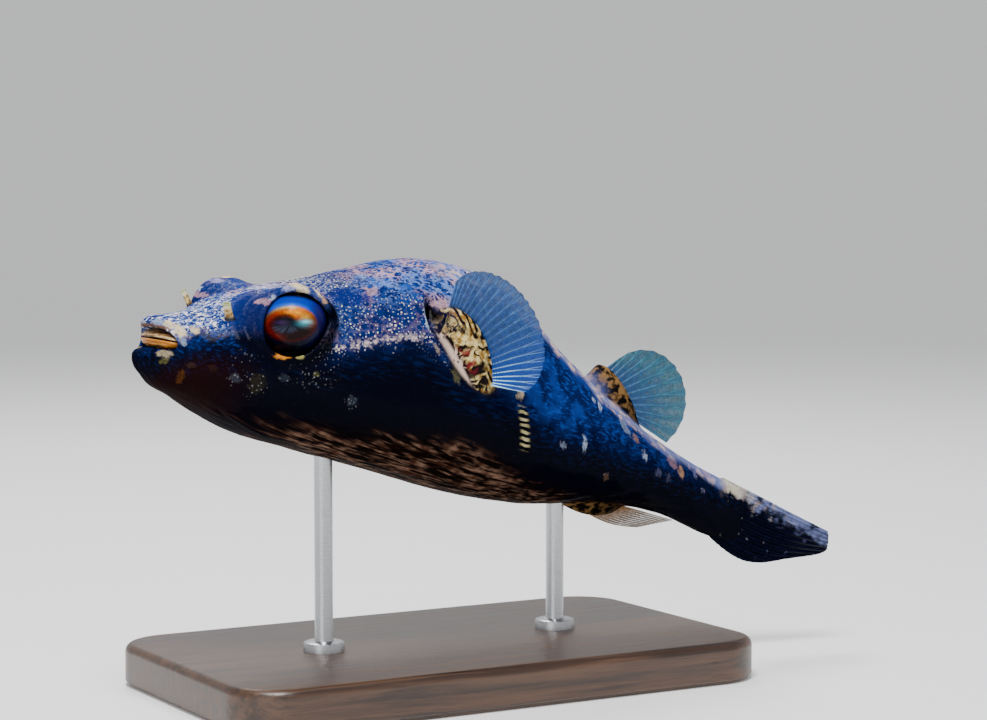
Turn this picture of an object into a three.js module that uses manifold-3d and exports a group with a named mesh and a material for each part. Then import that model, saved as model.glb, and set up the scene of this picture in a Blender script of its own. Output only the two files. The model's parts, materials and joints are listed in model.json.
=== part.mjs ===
// Freshwater pufferfish: a still, life-size display model on a plain stand.
//
// The fish is modelled in a frame of its own: X runs from the snout back to the tail, +Z is the back,
// -Y is the fish's left side, and z = 0 is the level of the mouth. The last sections tip the fish nose-up,
// lift it over the stand and put the origin under the middle of the base. All sizes are in millimetres.

import * as THREE from 'three';
import { mergeVertices } from 'three/addons/utils/BufferGeometryUtils.js';
import Module from 'manifold-3d';

const wasm = await Module();
wasm.setup();
const { Manifold, Mesh: SolidMesh } = wasm;

const DEG = Math.PI / 180;

// ---- Driving dimensions -----------------------------------------------------------------------------

const GAP = 0.3; // clear space between neighbouring pieces
const NOSE_UP = 13 * DEG; // how far the fish is tipped
const PIVOT_X = 60; // the place along the fish that stands over the middle of the base
const PIVOT_HEIGHT = 46; // height of that place over the floor
const HEAD_SWAY = 4; // how far the snout swings to the left of the straight body
const TAIL_SWAY = 3; // the same for the body PIVOT_X behind the pivot
const RING_COLUMNS = 32; // points round one ring of the body
const STEM_END = 117; // x of the root of the tail fin

const EYE = { x: 23.6, y: -11, z: 7.4, radius: 5.3 }; // left eyeball
const EYE_AXIS = new THREE.Vector3(-0.42, -0.9, 0.06).normalize(); // where the left eye looks
const ORBIT_RADIUS = 6.5; // dome of skin round the eyeball
const ORBIT_OPENING = 60 * DEG; // half-angle of the hole that shows the eye
const BROW = { height: 1.6, from: 6, to: 14 }; // soft swelling of the head about the eye's middle

const LIP_CUT_X = 7.6; // the lips are parted from the head here
const MOUTH = { x: 6.2, z: 0.95, rise: 2 * DEG }; // middle of the mouth's line, which rises to its corners
const BEAK = { x: 7.7, z: 0.95, halves: [2.7, 5.3, 1.75], detail: [16, 8] }; // before the lips cut it
const HEAD_END = 46.6; // x of the gill slits, where the head ends
const TAIL_CUT_X = 84; // the tail stem starts here

const BASE = { length: 96, width: 56, height: 7, corner: 9, bevel: 1 };
const ROD = {
  radius: 1.5, collarRadius: 3.4, collarHeight: 1.6, collarBevel: 0.5,
  front: -22, rear: 22, // where the two rods stand along the base
  sides: 16,
};

// Rings of skin from the throat, round the lips and back to the tail. `at` counts along the skin,
// x gives the places of the ring's top, sides and bottom, half is its half-width, mid the height of its
// widest points, and power its squareness (2 is an ellipse). Behind the snout x is simply at - 5.
const MOUTH_RINGS = [
  { at: 0, x: [11, 11, 11], top: 1.9, bottom: 0.8, half: 0.6, mid: 1.2, power: 2 }, // throat
  { at: 2, x: [8.6, 9.8, 8.6], top: 2.5, bottom: -0.2, half: 3.7, mid: 0.9, power: 2 },
  { at: 5, x: [6, 8.3, 5.4], top: 2.5, bottom: -0.6, half: 5, mid: 0.5, power: 2 }, // inner edge of the lips
  { at: 7, x: [4.2, 7, 3.6], top: 3.2, bottom: -2, half: 5.6, mid: 0.4, power: 2 }, // crest of the lips
  { at: 9, x: [5.1, 7.3, 4.3], top: 4.3, bottom: -4, half: 6.1, mid: 0.1, power: 2.1 },
  { at: 10.5, x: [6.2, 8, 5.5], top: 4.7, bottom: -5.1, half: 6.3, mid: -0.4, power: 2.1 }, // groove
  { at: 13, x: [8, 9.3, 7.3], top: 5.3, bottom: -6.4, half: 7.2, mid: -0.9, power: 2.1 },
];
const SNOUT_OFFSET = 5;
const BODY_RINGS = [
  { x: 11, top: 6.4, bottom: -7.4, half: 8.9, mid: -1.2, power: 2.15 }, // chin
  { x: 16, top: 9.2, bottom: -9.1, half: 11.6, mid: -1.3, power: 2.25 },
  { x: 23, top: 12.2, bottom: -11, half: 14.2, mid: -1.2, power: 2.3 }, // eyes
  { x: 35, top: 17.4, bottom: -12, half: 16, mid: -1, power: 2.3 }, // cheeks
  { x: 50, top: 23, bottom: -13, half: 17.5, mid: -0.6, power: 2.15 }, // shoulders
  { x: 64, top: 22, bottom: -14, half: 17, mid: -1, power: 2.1 }, // belly
  { x: 78, top: 14, bottom: -13.5, half: 14.4, mid: -2.4, power: 2.05 },
  { x: 92, top: 6.4, bottom: -11, half: 10.4, mid: -3.6, power: 2 },
  { x: 105, top: 1, bottom: -10.6, half: 6.6, mid: -4.8, power: 2 },
  { x: STEM_END, top: -2.2, bottom: -12.8, half: 2.6, mid: -7.4, power: 2 },
];

const PECTORAL = {
  x: 53.6, z: 9.2, // middle of the fleshy base on the flank
  lean: -47 * DEG, // its long axis, from the gill slit down and back
  halfLength: 7.8, halfWidth: 3.7, halfDepth: 2.8,
  sunk: 0.4, // how far the middle of the base lies under the skin
  rootLength: 6.9, rootWidth: 2.7, rootLift: 1.2, // the rays' roots, an arc on the back of the base
  rootEnds: [0.04, 0.96], // where on that half-turn the first and the last ray stand
  rays: 9,
  ray: 10, // length of the longest ray
  outline: { from: 0.1, to: 0.88, power: 0.6 }, // arch of the margin, as a stretch of a half sine wave
  spread: [88 * DEG, -2 * DEG], // how high the first and the last ray point
  heading: [66 * DEG, 52 * DEG], // how far the rays stand off the flank, at the root and at the margin
};
const DORSAL = {
  base: { x: 93.1, z: 6.8, lean: -48 * DEG, halfLength: 7.6, halfWidth: 2.9, halfHeight: 2.8 },
  rays: 9,
  roots: [[90, 12], [97, 4.8]],
  margin: { x: 98.6, z: 8.2, radius: 8.8, from: 138 * DEG, to: -46 * DEG },
};
const ANAL = {
  base: { x: 91.5, z: -10, lean: -2 * DEG, halfLength: 6.6, halfWidth: 2.5, halfHeight: 3.1 },
  rays: 7,
  roots: [[91, -12.4], [96.5, -10.4]],
  tips: [[102.5, -13.5], [109, -11.2]],
  bow: 0.8, // how far the first ray bows down
};
const CAUDAL = {
  rays: 9,
  roots: [-2.5, -12.6], // heights of the first and the last ray at the end of the stem
  tip: { x: 141, z: -10.7 }, // end of the longest ray
  topShortfall: 0.5, // how much shorter the first ray is
  bottomShortfall: 7.5, // how much shorter the last ray is
  sag: 2.5, // how far the lower rays bow down
  pleat: 0.5, // sideways depth of the folds between the rays
  closing: 0.56, // height of the fin at its end over that at its root
};
const FIN_THICKNESS = { root: 0.9, margin: 0.55, web: 0.5, thinning: 0.2 }; // thinning from ray to web
const NOSTRIL = {
  at: { left: 20.2, right: 21.4 }, // how far back each stands; a living pair is never quite even
  turn: { left: 43.5 * DEG, right: 38 * DEG },
  length: 2.8, sunk: 0.8, foot: 0.8, neck: 0.5, lip: 0.56, hole: 0.26, holeDepth: 0.7,
  tilt: [-0.35, 0, 0.6], // how far it leans forwards and up from the skin's own direction
};

// ---- Small helpers ----------------------------------------------------------------------------------

const lerp = THREE.MathUtils.lerp;
const signedPower = (value, power) => Math.sign(value) * Math.abs(value) ** power;

/** Smooth curve through values at uneven places, as [places, values] columns, evaluated at q. */
function curveThrough(places, values, q) {
  const last = places.length - 1;
  const at = THREE.MathUtils.clamp(q, places[0], places[last]);
  const slope = (i) => (values[i + 1] - values[i]) / (places[i + 1] - places[i]);
  const tangent = (i) => {
    if (i === 0) return slope(0);
    if (i === last) return slope(last - 1);
    const before = places[i] - places[i - 1];
    const after = places[i + 1] - places[i];
    return (slope(i - 1) * after + slope(i) * before) / (before + after);
  };
  let i = 0;
  while (i < last - 1 && at >= places[i + 1]) i += 1;
  const span = places[i + 1] - places[i];
  const t = (at - places[i]) / span;
  const start = (1 + 2 * t) * (1 - t) ** 2 * values[i] + t * (1 - t) ** 2 * span * tangent(i);
  const end = t * t * (3 - 2 * t) * values[i + 1] + t * t * (t - 1) * span * tangent(i + 1);
  return start + end;
}

/** Closed geometry from points and triangles, turned so that its faces point out. */
function closedGeometry(points, triangles) {
  const position = points.flatMap((p) => [p.x, p.y, p.z]);
  let volume = 0;
  for (const [a, b, c] of triangles) {
    volume += points[a].dot(new THREE.Vector3().crossVectors(points[b], points[c]));
  }
  const faces = volume < 0 ? triangles.map(([a, b, c]) => [a, c, b]) : triangles;
  const geometry = new THREE.BufferGeometry();
  geometry.setAttribute('position', new THREE.Float32BufferAttribute(position, 3));
  geometry.setIndex(faces.flat());
  return geometry;
}

/** Closed solid lofted through rings of points, with a fan of triangles over each end. */
function loft(rings) {
  const columns = rings[0].length;
  const points = rings.flat();
  const triangles = [];
  for (let i = 0; i < rings.length - 1; i += 1) {
    for (let j = 0; j < columns; j += 1) {
      const next = (j + 1) % columns;
      const [a, b] = [i * columns + j, i * columns + next];
      const [c, d] = [a + columns, b + columns];
      triangles.push([a, b, d], [a, d, c]);
    }
  }
  for (const [ring, inward] of [[0, true], [rings.length - 1, false]]) {
    const middle = rings[ring].reduce((sum, p) => sum.add(p), new THREE.Vector3()).divideScalar(columns);
    const hub = points.push(middle) - 1;
    for (let j = 0; j < columns; j += 1) {
      const [a, b] = [ring * columns + j, ring * columns + ((j + 1) % columns)];
      triangles.push(inward ? [hub, b, a] : [hub, a, b]);
    }
  }
  return closedGeometry(points, triangles);
}

/** Closed thin slab about a grid of middle points; halfThickness(i, j) is measured along the normal. */
function slab(grid, halfThickness) {
  const rows = grid.length;
  const columns = grid[0].length;
  const clampRow = (i) => THREE.MathUtils.clamp(i, 0, rows - 1);
  const clampColumn = (j) => THREE.MathUtils.clamp(j, 0, columns - 1);
  const sides = [[], []];
  for (let i = 0; i < rows; i += 1) {
    for (let j = 0; j < columns; j += 1) {
      const along = new THREE.Vector3().subVectors(grid[clampRow(i + 1)][j], grid[clampRow(i - 1)][j]);
      const across = new THREE.Vector3().subVectors(grid[i][clampColumn(j + 1)], grid[i][clampColumn(j - 1)]);
      const normal = along.cross(across).normalize().multiplyScalar(halfThickness(i, j));
      sides[0].push(grid[i][j].clone().add(normal));
      sides[1].push(grid[i][j].clone().sub(normal));
    }
  }
  const points = sides.flat();
  const top = (i, j) => i * columns + j;
  const under = (i, j) => rows * columns + top(i, j);
  const triangles = [];
  const quad = (a, b, c, d) => triangles.push([a, b, c], [a, c, d]);
  for (let i = 0; i < rows - 1; i += 1) {
    for (let j = 0; j < columns - 1; j += 1) {
      quad(top(i, j), top(i + 1, j), top(i + 1, j + 1), top(i, j + 1));
      quad(under(i, j), under(i, j + 1), under(i + 1, j + 1), under(i + 1, j));
    }
    quad(top(i, 0), under(i, 0), under(i + 1, 0), top(i + 1, 0));
    quad(top(i + 1, columns - 1), under(i + 1, columns - 1), under(i, columns - 1), top(i, columns - 1));
  }
  for (let j = 0; j < columns - 1; j += 1) {
    quad(top(0, j + 1), under(0, j + 1), under(0, j), top(0, j));
    quad(top(rows - 1, j), under(rows - 1, j), under(rows - 1, j + 1), top(rows - 1, j + 1));
  }
  return closedGeometry(points, triangles);
}

/** Solid of a closed geometry, whose shared vertices are merged first. */
function solid(geometry) {
  const bare = geometry.clone();
  bare.deleteAttribute('normal');
  bare.deleteAttribute('uv');
  const merged = mergeVertices(bare, 1e-4);
  return new Manifold(new SolidMesh({
    numProp: 3,
    vertProperties: new Float32Array(merged.attributes.position.array),
    triVerts: new Uint32Array(merged.index.array),
  }));
}

/** Geometry of a solid. */
function geometryOf(body) {
  const mesh = body.getMesh();
  const geometry = new THREE.BufferGeometry();
  geometry.setAttribute('position', new THREE.Float32BufferAttribute(mesh.vertProperties, 3));
  geometry.setIndex(new THREE.Uint32BufferAttribute(mesh.triVerts, 1));
  return geometry;
}

/** The largest separate piece of a solid. */
function largest(body) {
  return body.decompose().sort((a, b) => b.volume() - a.volume())[0];
}

/** Ellipsoid whose first half-axis leans from +X towards +Z, swayed with the body at its middle. */
function leaningEllipsoid({ x, y = 0, z, lean, halves, grow = 0, detail = [16, 9] }) {
  const geometry = new THREE.SphereGeometry(1, detail[0], detail[1]);
  geometry.scale(halves[0] + grow, halves[1] + grow, halves[2] + grow);
  geometry.rotateY(-lean);
  geometry.rotateZ(swayAngle(x));
  const middle = sway(new THREE.Vector3(x, y, z));
  geometry.translate(middle.x, middle.y, middle.z);
  return solid(geometry);
}

// ---- The body's shape -------------------------------------------------------------------------------

const ALL_RINGS = [
  ...MOUTH_RINGS,
  ...BODY_RINGS.map(({ x, ...rest }) => ({ at: x + SNOUT_OFFSET, x: [x, x, x], ...rest })),
];
const PLACES = ALL_RINGS.map((ring) => ring.at);

/** Sizes of the ring at a place along the skin. */
function ringAt(at) {
  const through = (pick) => curveThrough(PLACES, ALL_RINGS.map(pick), at);
  return {
    x: [0, 1, 2].map((k) => through((ring) => ring.x[k])),
    top: through((ring) => ring.top),
    bottom: through((ring) => ring.bottom),
    half: through((ring) => ring.half),
    mid: through((ring) => ring.mid),
    power: through((ring) => ring.power),
  };
}

/** Angle by which the bent body turns at x. */
function swayAngle(x) {
  const reach = (x - PIVOT_X) / PIVOT_X;
  const amount = x < PIVOT_X ? HEAD_SWAY : TAIL_SWAY;
  return Math.atan((-2 * amount * reach) / PIVOT_X);
}

/** A point of the straight fish moved with the bent body, whose head and tail swing to the left. */
function sway(point) {
  const reach = (point.x - PIVOT_X) / PIVOT_X;
  const middle = -(point.x < PIVOT_X ? HEAD_SWAY : TAIL_SWAY) * reach * reach;
  const angle = swayAngle(point.x);
  return new THREE.Vector3(
    point.x - point.y * Math.sin(angle),
    middle + point.y * Math.cos(angle),
    point.z,
  );
}

/** Point of the straight skin: turn 0 is the top of a ring, 90 degrees the left side, 180 the bottom. */
function skinPoint(at, turn) {
  const ring = ringAt(at);
  const up = Math.cos(turn);
  const side = Math.sin(turn);
  const rise = up >= 0 ? ring.top - ring.mid : ring.mid - ring.bottom;
  const end = up >= 0 ? ring.x[0] : ring.x[2];
  return new THREE.Vector3(
    ring.x[1] + (end - ring.x[1]) * up * up,
    -ring.half * signedPower(side, 2 / ring.power),
    ring.mid + rise * signedPower(up, 2 / ring.power),
  );
}

/** A point of the straight skin pushed out by the swelling round each eye. */
function withBrows(point) {
  for (const side of [1, -1]) {
    const away = point.clone().sub(new THREE.Vector3(EYE.x, EYE.y * side, EYE.z));
    const fade = 1 - THREE.MathUtils.smoothstep(away.length(), BROW.from, BROW.to);
    point.addScaledVector(away.normalize(), BROW.height * fade);
  }
  return point;
}

/** Distance of the straight flank from the middle plane at x and z. */
function flankAt(x, z) {
  const ring = ringAt(x + SNOUT_OFFSET);
  const rise = z >= ring.mid ? ring.top - ring.mid : ring.mid - ring.bottom;
  const height = Math.min(Math.abs(z - ring.mid) / rise, 1);
  return ring.half * (1 - height ** ring.power) ** (1 / ring.power);
}

/** Places along the skin where the loft has a ring: close round the mouth, wider along the body. */
function ringPlaces() {
  const places = [0, 1.5, 3.5, 5, 6, 7, 8, 9, 10.5, 12, 14];
  for (let at = 16; at < 42; at += 2.8) places.push(at);
  for (let at = 42; at < STEM_END + SNOUT_OFFSET - 2; at += 4) places.push(at);
  places.push(STEM_END + SNOUT_OFFSET);
  return places;
}

/** The whole skin as one solid, with its surface moved out by `grow`. */
function wholeBody(grow = 0) {
  const turns = Array.from({ length: RING_COLUMNS }, (_, j) => (2 * Math.PI * j) / RING_COLUMNS);
  const rings = ringPlaces().map((at) => turns.map((turn) => sway(withBrows(skinPoint(at, turn)))));
  const geometry = loft(rings);
  if (grow) {
    geometry.computeVertexNormals();
    const { position, normal } = geometry.attributes;
    for (let i = 0; i < position.count; i += 1) {
      position.setXYZ(
        i,
        position.getX(i) + grow * normal.getX(i),
        position.getY(i) + grow * normal.getY(i),
        position.getZ(i) + grow * normal.getZ(i),
      );
    }
  }
  return solid(geometry);
}

// ---- Eyes -------------------------------------------------------------------------------------------

/** Middle and looking direction of the eye on one side; side is 1 on the left and -1 on the right. */
function eyePlace(side) {
  const middle = sway(new THREE.Vector3(EYE.x, EYE.y * side, EYE.z));
  const axis = new THREE.Vector3(EYE_AXIS.x, EYE_AXIS.y * side, EYE_AXIS.z);
  axis.applyAxisAngle(new THREE.Vector3(0, 0, 1), swayAngle(EYE.x));
  return { middle, axis };
}

/** Ball about the eye's middle. */
function eyeSphere(side, radius) {
  const { middle, axis } = eyePlace(side);
  const geometry = new THREE.SphereGeometry(radius, 18, 10);
  geometry.applyQuaternion(new THREE.Quaternion().setFromUnitVectors(new THREE.Vector3(0, 1, 0), axis));
  geometry.translate(middle.x, middle.y, middle.z);
  return solid(geometry);
}

/** Cone from the eye's middle outwards, which opens the dome of skin over the eye. */
function eyeOpening(side) {
  const { middle, axis } = eyePlace(side);
  const reach = ORBIT_RADIUS + 1;
  const geometry = new THREE.ConeGeometry(reach * Math.tan(ORBIT_OPENING), reach, 18);
  geometry.translate(0, -reach / 2, 0);
  geometry.applyQuaternion(
    new THREE.Quaternion().setFromUnitVectors(new THREE.Vector3(0, -1, 0), axis),
  );
  geometry.translate(middle.x, middle.y, middle.z);
  return solid(geometry);
}

// ---- Fins -------------------------------------------------------------------------------------------

/** Fleshy base of the pectoral fin on one side, before the flank is cut out of it. */
function pectoralPad(side, grow) {
  const flank = flankAt(PECTORAL.x, PECTORAL.z);
  return leaningEllipsoid({
    x: PECTORAL.x,
    y: -side * (flank - PECTORAL.sunk),
    z: PECTORAL.z,
    lean: PECTORAL.lean,
    halves: [PECTORAL.halfLength, PECTORAL.halfDepth, PECTORAL.halfWidth],
    grow,
  });
}

/** Point of the pectoral fin: across runs from the top ray to the bottom one, out from root to margin. */
function pectoralPoint(side, across, out) {
  const { lean, rootEnds, outline, spread, heading } = PECTORAL;
  const angle = Math.PI * lerp(rootEnds[0], rootEnds[1], across);
  const along = -PECTORAL.rootLength * Math.cos(angle);
  const behind = PECTORAL.rootWidth * Math.sin(angle);
  const x = PECTORAL.x + along * Math.cos(lean) - behind * Math.sin(lean);
  const z = PECTORAL.z + along * Math.sin(lean) + behind * Math.cos(lean);
  const arch = Math.sin(Math.PI * lerp(outline.from, outline.to, across)) ** outline.power;
  const length = PECTORAL.ray * arch * out;
  const rise = lerp(spread[0], spread[1], across);
  const turn = lerp(heading[0], heading[1], out);
  const y = flankAt(x, z) + PECTORAL.rootLift + length * Math.cos(rise) * Math.sin(turn);
  const swept = x + length * Math.cos(rise) * Math.cos(turn);
  return sway(new THREE.Vector3(swept, -side * y, z + length * Math.sin(rise)));
}

/** Point in the middle plane, out of the way from one [x, z] place to another. */
function middlePoint(from, to, out, drop = 0) {
  return sway(new THREE.Vector3(lerp(from[0], to[0], out), 0, lerp(from[1], to[1], out) - drop));
}

/** Place between the two ends of a list of [x, z] pairs. */
function between([first, last], across) {
  return [lerp(first[0], last[0], across), lerp(first[1], last[1], across)];
}

/** Point of the dorsal fin, whose margin is an arc. */
function dorsalPoint(across, out) {
  const { x, z, radius, from, to } = DORSAL.margin;
  const angle = lerp(from, to, across);
  const tip = [x + radius * Math.cos(angle), z + radius * Math.sin(angle)];
  return middlePoint(between(DORSAL.roots, across), tip, out);
}

/** Point of the anal fin, which lies folded back under the stem. */
function analPoint(across, out) {
  const drop = ANAL.bow * Math.sin(Math.PI * out) * (1 - across);
  return middlePoint(between(ANAL.roots, across), between(ANAL.tips, across), out, drop);
}

/** Point of the closed tail fin; its rays lie in shallow pleats, to the side that fold says. */
function caudalPoint(across, out, fold) {
  const { roots, tip, topShortfall, bottomShortfall, sag, pleat, closing } = CAUDAL;
  const shortfall = across < 0.5
    ? topShortfall * (1 - 2 * across) ** 2
    : bottomShortfall * (2 * across - 1) ** 2;
  const start = STEM_END + GAP;
  const x = lerp(start, tip.x - shortfall, out);
  const middle = lerp((roots[0] + roots[1]) / 2, tip.z, out);
  const z = middle + (0.5 - across) * (roots[0] - roots[1]) * lerp(1, closing, out);
  const bow = sag * Math.sin(Math.PI * out) * across;
  const depth = pleat * Math.min(1, 3 * out);
  return sway(new THREE.Vector3(x, fold * depth, z - bow));
}

/** Fin of rays with thin web between them; every second row of the grid is a ray. */
function rayedFin(rays, steps, pointAt, notch) {
  const rows = 2 * rays - 1;
  const grid = Array.from({ length: rows }, (_, i) => {
    const across = i / (rows - 1);
    const isRay = i % 2 === 0;
    const reach = isRay ? 1 : 1 - notch;
    return Array.from({ length: steps + 1 }, (__, j) => pointAt(across, (reach * j) / steps, isRay ? 1 : -1));
  });
  const thickness = (i, j) => {
    const full = lerp(FIN_THICKNESS.root, FIN_THICKNESS.margin, j / steps);
    return (i % 2 === 0 ? full : Math.max(FIN_THICKNESS.web, full - FIN_THICKNESS.thinning)) / 2;
  };
  return solid(slab(grid, thickness));
}

// ---- Cutting the fish into its pieces ---------------------------------------------------------------

/** The part of a solid on the far side of a plane, GAP / 2 back from it. */
function cut(body, normal, point) {
  const n = normal.clone().normalize();
  return body.trimByPlane(n.toArray(), n.dot(point) + GAP / 2);
}

const body = wholeBody();
const bodyClearance = wholeBody(GAP);
const SIDES = { left: 1, right: -1 };

let flesh = body;
for (const side of Object.values(SIDES)) flesh = flesh.add(eyeSphere(side, ORBIT_RADIUS));
for (const side of Object.values(SIDES)) {
  flesh = flesh.subtract(eyeSphere(side, EYE.radius + GAP));
  flesh = flesh.subtract(eyeOpening(side));
}

const rearward = new THREE.Vector3(1, 0, 0);
const forward = rearward.clone().negate();
const lipPlane = new THREE.Vector3(LIP_CUT_X, 0, 0);
const mouthPoint = new THREE.Vector3(MOUTH.x, 0, MOUTH.z);
const overMouth = new THREE.Vector3(-Math.sin(MOUTH.rise), 0, Math.cos(MOUTH.rise));
const underMouth = overMouth.clone().negate();
const gillPoint = new THREE.Vector3(HEAD_END, 0, 0);
const tailPoint = new THREE.Vector3(TAIL_CUT_X, 0, 0);

const muzzle = cut(flesh, forward, lipPlane);
const behindLips = cut(flesh, rearward, lipPlane);
const behindGills = cut(behindLips, rearward, gillPoint);

const pieces = {
  lip_upper: cut(muzzle, overMouth, mouthPoint),
  lip_lower: cut(muzzle, underMouth, mouthPoint),
  head: cut(behindLips, forward, gillPoint),
  trunk: cut(behindGills, forward, tailPoint),
  tail_stem: cut(behindGills, rearward, tailPoint),
};

// The beak: two plates that fill the open mouth and meet along its line.
const beak = leaningEllipsoid({ ...BEAK, lean: MOUTH.rise }).subtract(bodyClearance);
pieces.beak_upper = largest(cut(beak, overMouth, mouthPoint));
pieces.beak_lower = largest(cut(beak, underMouth, mouthPoint));

/** Short nasal tube in front of an eye, with a flared and hollow end. */
function nostril(name, side) {
  const { length, sunk, foot, neck, lip, hole, holeDepth, tilt } = NOSTRIL;
  const [at, turn] = [NOSTRIL.at[name], NOSTRIL.turn[name]];
  const skinAt = (...place) => sway(withBrows(skinPoint(...place)));
  const place = skinAt(at, side * turn);
  const around = skinAt(at, side * (turn + 0.05)).sub(place);
  const back = skinAt(at + 0.3, side * turn).sub(place);
  const direction = around.cross(back).multiplyScalar(side).normalize()
    .add(new THREE.Vector3(...tilt))
    .normalize();
  const profile = [
    [0, -sunk], [foot, -sunk], [neck, length * 0.75], [lip, length],
    [hole, length], [hole, length - holeDepth], [0, length - holeDepth],
  ].map(([radius, height]) => new THREE.Vector2(radius, height));
  const tube = new THREE.LatheGeometry(profile, 10);
  tube.applyQuaternion(new THREE.Quaternion().setFromUnitVectors(new THREE.Vector3(0, 1, 0), direction));
  tube.translate(place.x, place.y, place.z);
  return solid(tube).subtract(bodyClearance);
}

for (const [name, side] of Object.entries(SIDES)) {
  pieces[`nostril_${name}`] = nostril(name, side);
  pieces[`eye_${name}`] = eyeSphere(side, EYE.radius);
  pieces[`pectoral_base_${name}`] = pectoralPad(side, 0).subtract(bodyClearance);
  pieces[`pectoral_fin_${name}`] = rayedFin(PECTORAL.rays, 3, (...at) => pectoralPoint(side, ...at), 0.05)
    .subtract(pectoralPad(side, GAP))
    .subtract(bodyClearance);
}

/** Fleshy base of a fin in the middle plane. */
function medianBase({ x, z, lean, halfLength, halfWidth, halfHeight }, grow = 0) {
  return leaningEllipsoid({ x, z, lean, halves: [halfLength, halfWidth, halfHeight], grow });
}

pieces.dorsal_fin_base = medianBase(DORSAL.base).subtract(bodyClearance);
pieces.dorsal_fin = rayedFin(DORSAL.rays, 3, dorsalPoint, 0.04)
  .subtract(medianBase(DORSAL.base, GAP))
  .subtract(bodyClearance);
pieces.anal_fin_base = medianBase(ANAL.base).subtract(bodyClearance);
pieces.anal_fin = rayedFin(ANAL.rays, 3, analPoint, 0.02)
  .subtract(medianBase(ANAL.base, GAP))
  .subtract(bodyClearance);
pieces.caudal_fin = rayedFin(CAUDAL.rays, 4, caudalPoint, 0.02);

// ---- Display stand ----------------------------------------------------------------------------------

const fishPlace = new THREE.Matrix4()
  .makeTranslation(0, 0, PIVOT_HEIGHT)
  .multiply(new THREE.Matrix4().makeRotationY(NOSE_UP))
  .multiply(new THREE.Matrix4().makeTranslation(-PIVOT_X, 0, 0));

/** Flat base with round corners and softened edges. */
function standBase() {
  const { length, width, height, corner, bevel } = BASE;
  const [x, y, r] = [length / 2 - bevel, width / 2 - bevel, corner - bevel];
  const outline = new THREE.Shape();
  outline.absarc(x - r, y - r, r, 0, 90 * DEG, false);
  outline.absarc(-x + r, y - r, r, 90 * DEG, 180 * DEG, false);
  outline.absarc(-x + r, -y + r, r, 180 * DEG, 270 * DEG, false);
  outline.absarc(x - r, -y + r, r, 270 * DEG, 360 * DEG, false);
  const geometry = new THREE.ExtrudeGeometry(outline, {
    depth: height - 2 * bevel,
    bevelThickness: bevel,
    bevelSize: bevel,
    bevelSegments: 1,
    curveSegments: 5,
  });
  geometry.translate(0, 0, bevel);
  return geometry;
}

/** Rod with a collar at its foot, cut to end GAP below the belly. */
function standRod(x) {
  const { radius, collarRadius, collarHeight, collarBevel, sides } = ROD;
  const foot = BASE.height + GAP;
  const profile = [
    [0, foot], [collarRadius, foot], [collarRadius, foot + collarHeight - collarBevel],
    [collarRadius - collarBevel, foot + collarHeight], [radius, foot + collarHeight],
    [radius, PIVOT_HEIGHT], [0, PIVOT_HEIGHT],
  ].map(([r, z]) => new THREE.Vector2(r, z));
  const rod = new THREE.LatheGeometry(profile, sides);
  rod.rotateX(90 * DEG);
  rod.translate(x, sway(new THREE.Vector3(PIVOT_X + x, 0, 0)).y, 0);
  const fish = geometryOf(body).applyMatrix4(fishPlace).translate(0, 0, -GAP);
  return geometryOf(largest(solid(rod).subtract(solid(fish))));
}

// ---- Scene graph ------------------------------------------------------------------------------------

const FINISH = {
  skin: { color: 0x34406e, roughness: 0.45, metalness: 0 },
  lip: { color: 0x3c4a7a, roughness: 0.4, metalness: 0 },
  beak: { color: 0xa8703a, roughness: 0.4, metalness: 0 },
  eye: { color: 0xb8441c, roughness: 0.12, metalness: 0 },
  nostril: { color: 0xb9a56a, roughness: 0.5, metalness: 0 },
  fin_base: { color: 0xc8b68a, roughness: 0.5, metalness: 0 },
  fin: { color: 0x3f6ea0, roughness: 0.4, metalness: 0 },
  tail_fin: { color: 0x262b48, roughness: 0.45, metalness: 0 },
  stand_base: { color: 0x4a3122, roughness: 0.55, metalness: 0 },
  stand_rod: { color: 0xb4b6b8, roughness: 0.3, metalness: 1 },
};

/** Finish of a piece of the fish, from its name. */
function finishOf(name) {
  if (name.startsWith('eye')) return 'eye';
  if (name.startsWith('lip')) return 'lip';
  if (name.startsWith('beak')) return 'beak';
  if (name.startsWith('nostril')) return 'nostril';
  if (name.includes('_base')) return 'fin_base';
  if (name.startsWith('caudal')) return 'tail_fin';
  return name.includes('fin') ? 'fin' : 'skin';
}

/** Named mesh with a material of its own. */
function piece(name, geometry, finish) {
  const mesh = new THREE.Mesh(geometry, new THREE.MeshStandardMaterial(FINISH[finish]));
  mesh.name = name;
  return mesh;
}

const fish = new THREE.Group();
for (const [name, shape] of Object.entries(pieces)) fish.add(piece(name, geometryOf(shape), finishOf(name)));
fish.applyMatrix4(fishPlace);

const stand = new THREE.Group();
stand.add(piece('stand_base', standBase(), 'stand_base'));
stand.add(piece('stand_rod_front', standRod(ROD.front), 'stand_rod'));
stand.add(piece('stand_rod_rear', standRod(ROD.rear), 'stand_rod'));

const model = new THREE.Group();
model.add(fish, stand);

export default model;
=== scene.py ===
"""Looks of a still, life-size freshwater pufferfish on its display stand.

The fish is shaped in a frame of its own, in millimetres: X runs from the snout back to the tail, +Z is the
back, -Y the left side, and z = 0 is the level of the mouth. `Pose` bends that straight fish, tips it nose up
and lifts it over the stand, in metres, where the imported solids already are.
"""

import json
import logging
import math
from collections.abc import Callable
from dataclasses import dataclass, field
from enum import Enum
from functools import cache

import bpy
import numpy as np
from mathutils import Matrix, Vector, noise
from mathutils.bvhtree import BVHTree

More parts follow.
